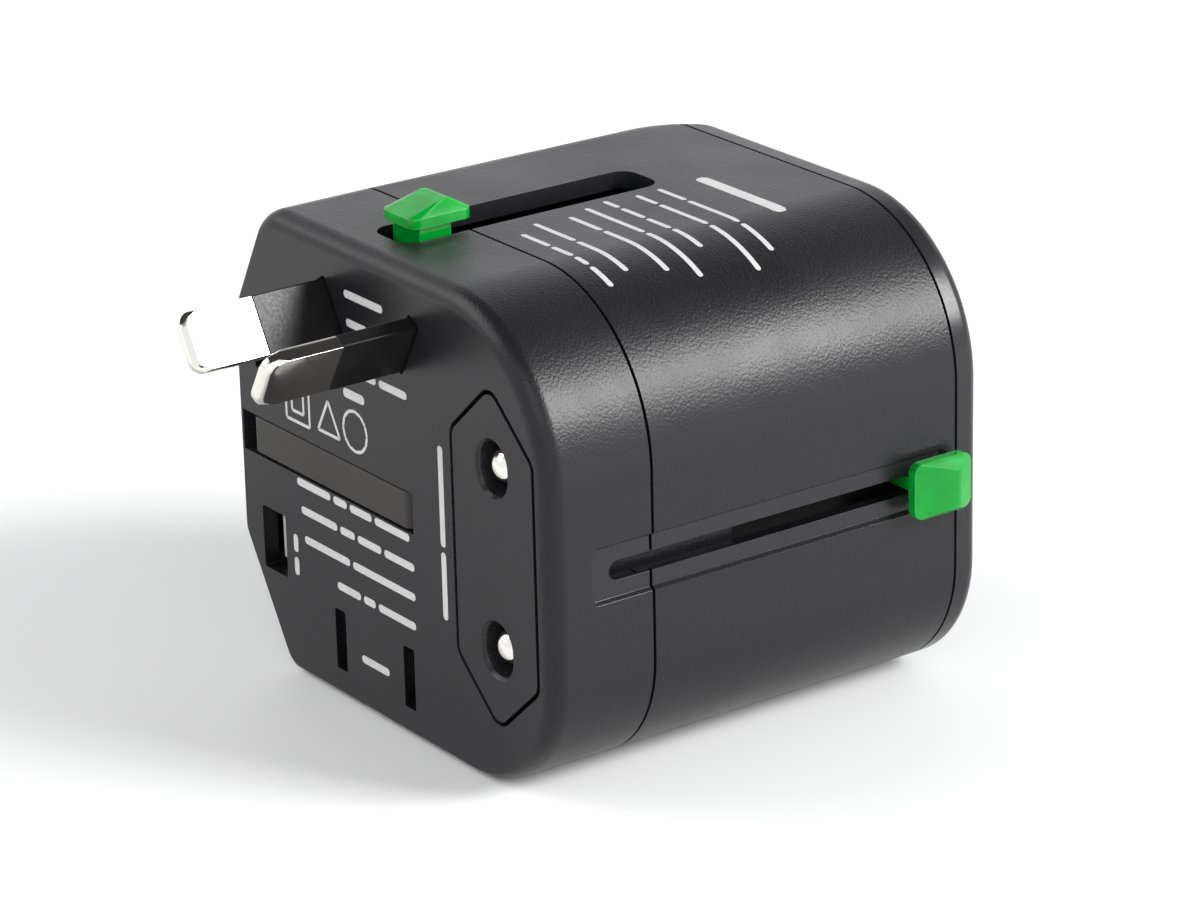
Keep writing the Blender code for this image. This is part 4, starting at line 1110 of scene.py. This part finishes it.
def make_floor():
    """A pale, matt floor, a hair below the object; its sizes are metres."""
    half_side, drop = 3.0, 0.0002
    mesh = bpy.data.meshes.new("floor")
    corners = [(x, y, 0) for x, y in rectangle(0, 0, half_side, half_side)]
    mesh.from_pydata(corners, [], [(0, 1, 2, 3)])
    floor = bpy.data.objects.new("floor", mesh)
    bpy.context.collection.objects.link(floor)
    floor.location.z = -drop
    material, nodes, links, shader = new_material("floor_pale")
    place = object_coordinates(nodes)
    mottled = noise(nodes, links, place, 6.0, 2.0)
    links.new(two_colours(nodes, links, mottled, (0.84, 0.84, 0.84), (0.87, 0.87, 0.87)),
              shader.inputs["Base Color"])
    shader.inputs["Roughness"].default_value = 0.6
    mesh.materials.append(material)


def add_light(name, towards, distance, size, power):
    """A square softbox in a direction from the object's middle, facing it; metres and watts."""
    light = bpy.data.lights.new(name, "AREA")
    light.shape = "SQUARE"
    light.size = size
    light.energy = power
    obj = bpy.data.objects.new(name, light)
    bpy.context.collection.objects.link(obj)
    middle = Vector((0, 0, 0.025))
    direction = Vector(towards).normalized()
    obj.location = middle + direction * distance
    obj.rotation_mode = "QUATERNION"
    obj.rotation_quaternion = direction.to_track_quat("Z", "Y")


def make_world():
    """White walls up to about 40 degrees above the floor, and a dim ceiling."""
    world = bpy.data.worlds.new("studio")
    world.use_nodes = True
    nodes, links = world.node_tree.nodes, world.node_tree.links
    split = nodes.new("ShaderNodeSeparateXYZ")
    links.new(nodes.new("ShaderNodeTexCoord").outputs["Generated"], split.inputs[0])
    brightness = remap(nodes, links, split.outputs["Z"], 0.60, 0.80, 1.15, 0.05)
    links.new(brightness, nodes["Background"].inputs["Strength"])
    nodes["Background"].inputs["Color"].default_value = (0.98, 0.985, 1.0, 1.0)
    bpy.context.scene.world = world
    bpy.context.scene.view_settings.view_transform = "Standard"


def make_lights():
    make_world()
    add_light("corner_softbox", (0.687, 0.541, 0.484), 2.5, 1.05, 84.0)
    add_light("front_fill", (-0.55, -0.60, 0.62), 2.6, 1.8, 30.0)
    add_light("right_fill", (0.75, -0.75, 0.75), 2.8, 1.4, 10.0)


def make_camera():
    """Looks at the plug face from the right and above, as a long lens sees it."""
    azimuth, elevation, roll = math.radians(54.635), math.radians(20.692), math.radians(-1.367)
    distance, shift_right, shift_up = 477.884, 0.709, -1.0
    aim = Vector((0.65, y_at(25.0), 25.6))
    back = Vector((math.sin(azimuth) * math.cos(elevation), -math.cos(azimuth) * math.cos(elevation),
                   math.sin(elevation)))
    level = Vector((math.cos(azimuth), math.sin(azimuth), 0.0))
    plumb = back.cross(level)
    right = math.cos(roll) * level + math.sin(roll) * plumb
    up = -math.sin(roll) * level + math.cos(roll) * plumb
    data = bpy.data.cameras.new("camera")
    data.sensor_width = 36.0
    data.lens = 139.39
    data.clip_start = 0.01
    camera = bpy.data.objects.new("camera", data)
    bpy.context.collection.objects.link(camera)
    camera.matrix_world = Matrix((
        (right.x, up.x, back.x, 0.0), (right.y, up.y, back.y, 0.0), (right.z, up.z, back.z, 0.0),
        (0.0, 0.0, 0.0, 1.0)))
    camera.location = (aim + back * distance + right * shift_right + up * shift_up) * MM
    bpy.context.scene.camera = camera


# ---------------------------------------------------------------- build

make_camera()
make_lights()
make_floor()
make_front_cover()
make_body_shell()
make_rear_cover()
make_au_blades()
make_eu_block()
make_eu_pins()
make_uk_pins()
make_us_blades()
make_earth_pin()
make_buttons()
make_printing()
coat_kept_nodes()
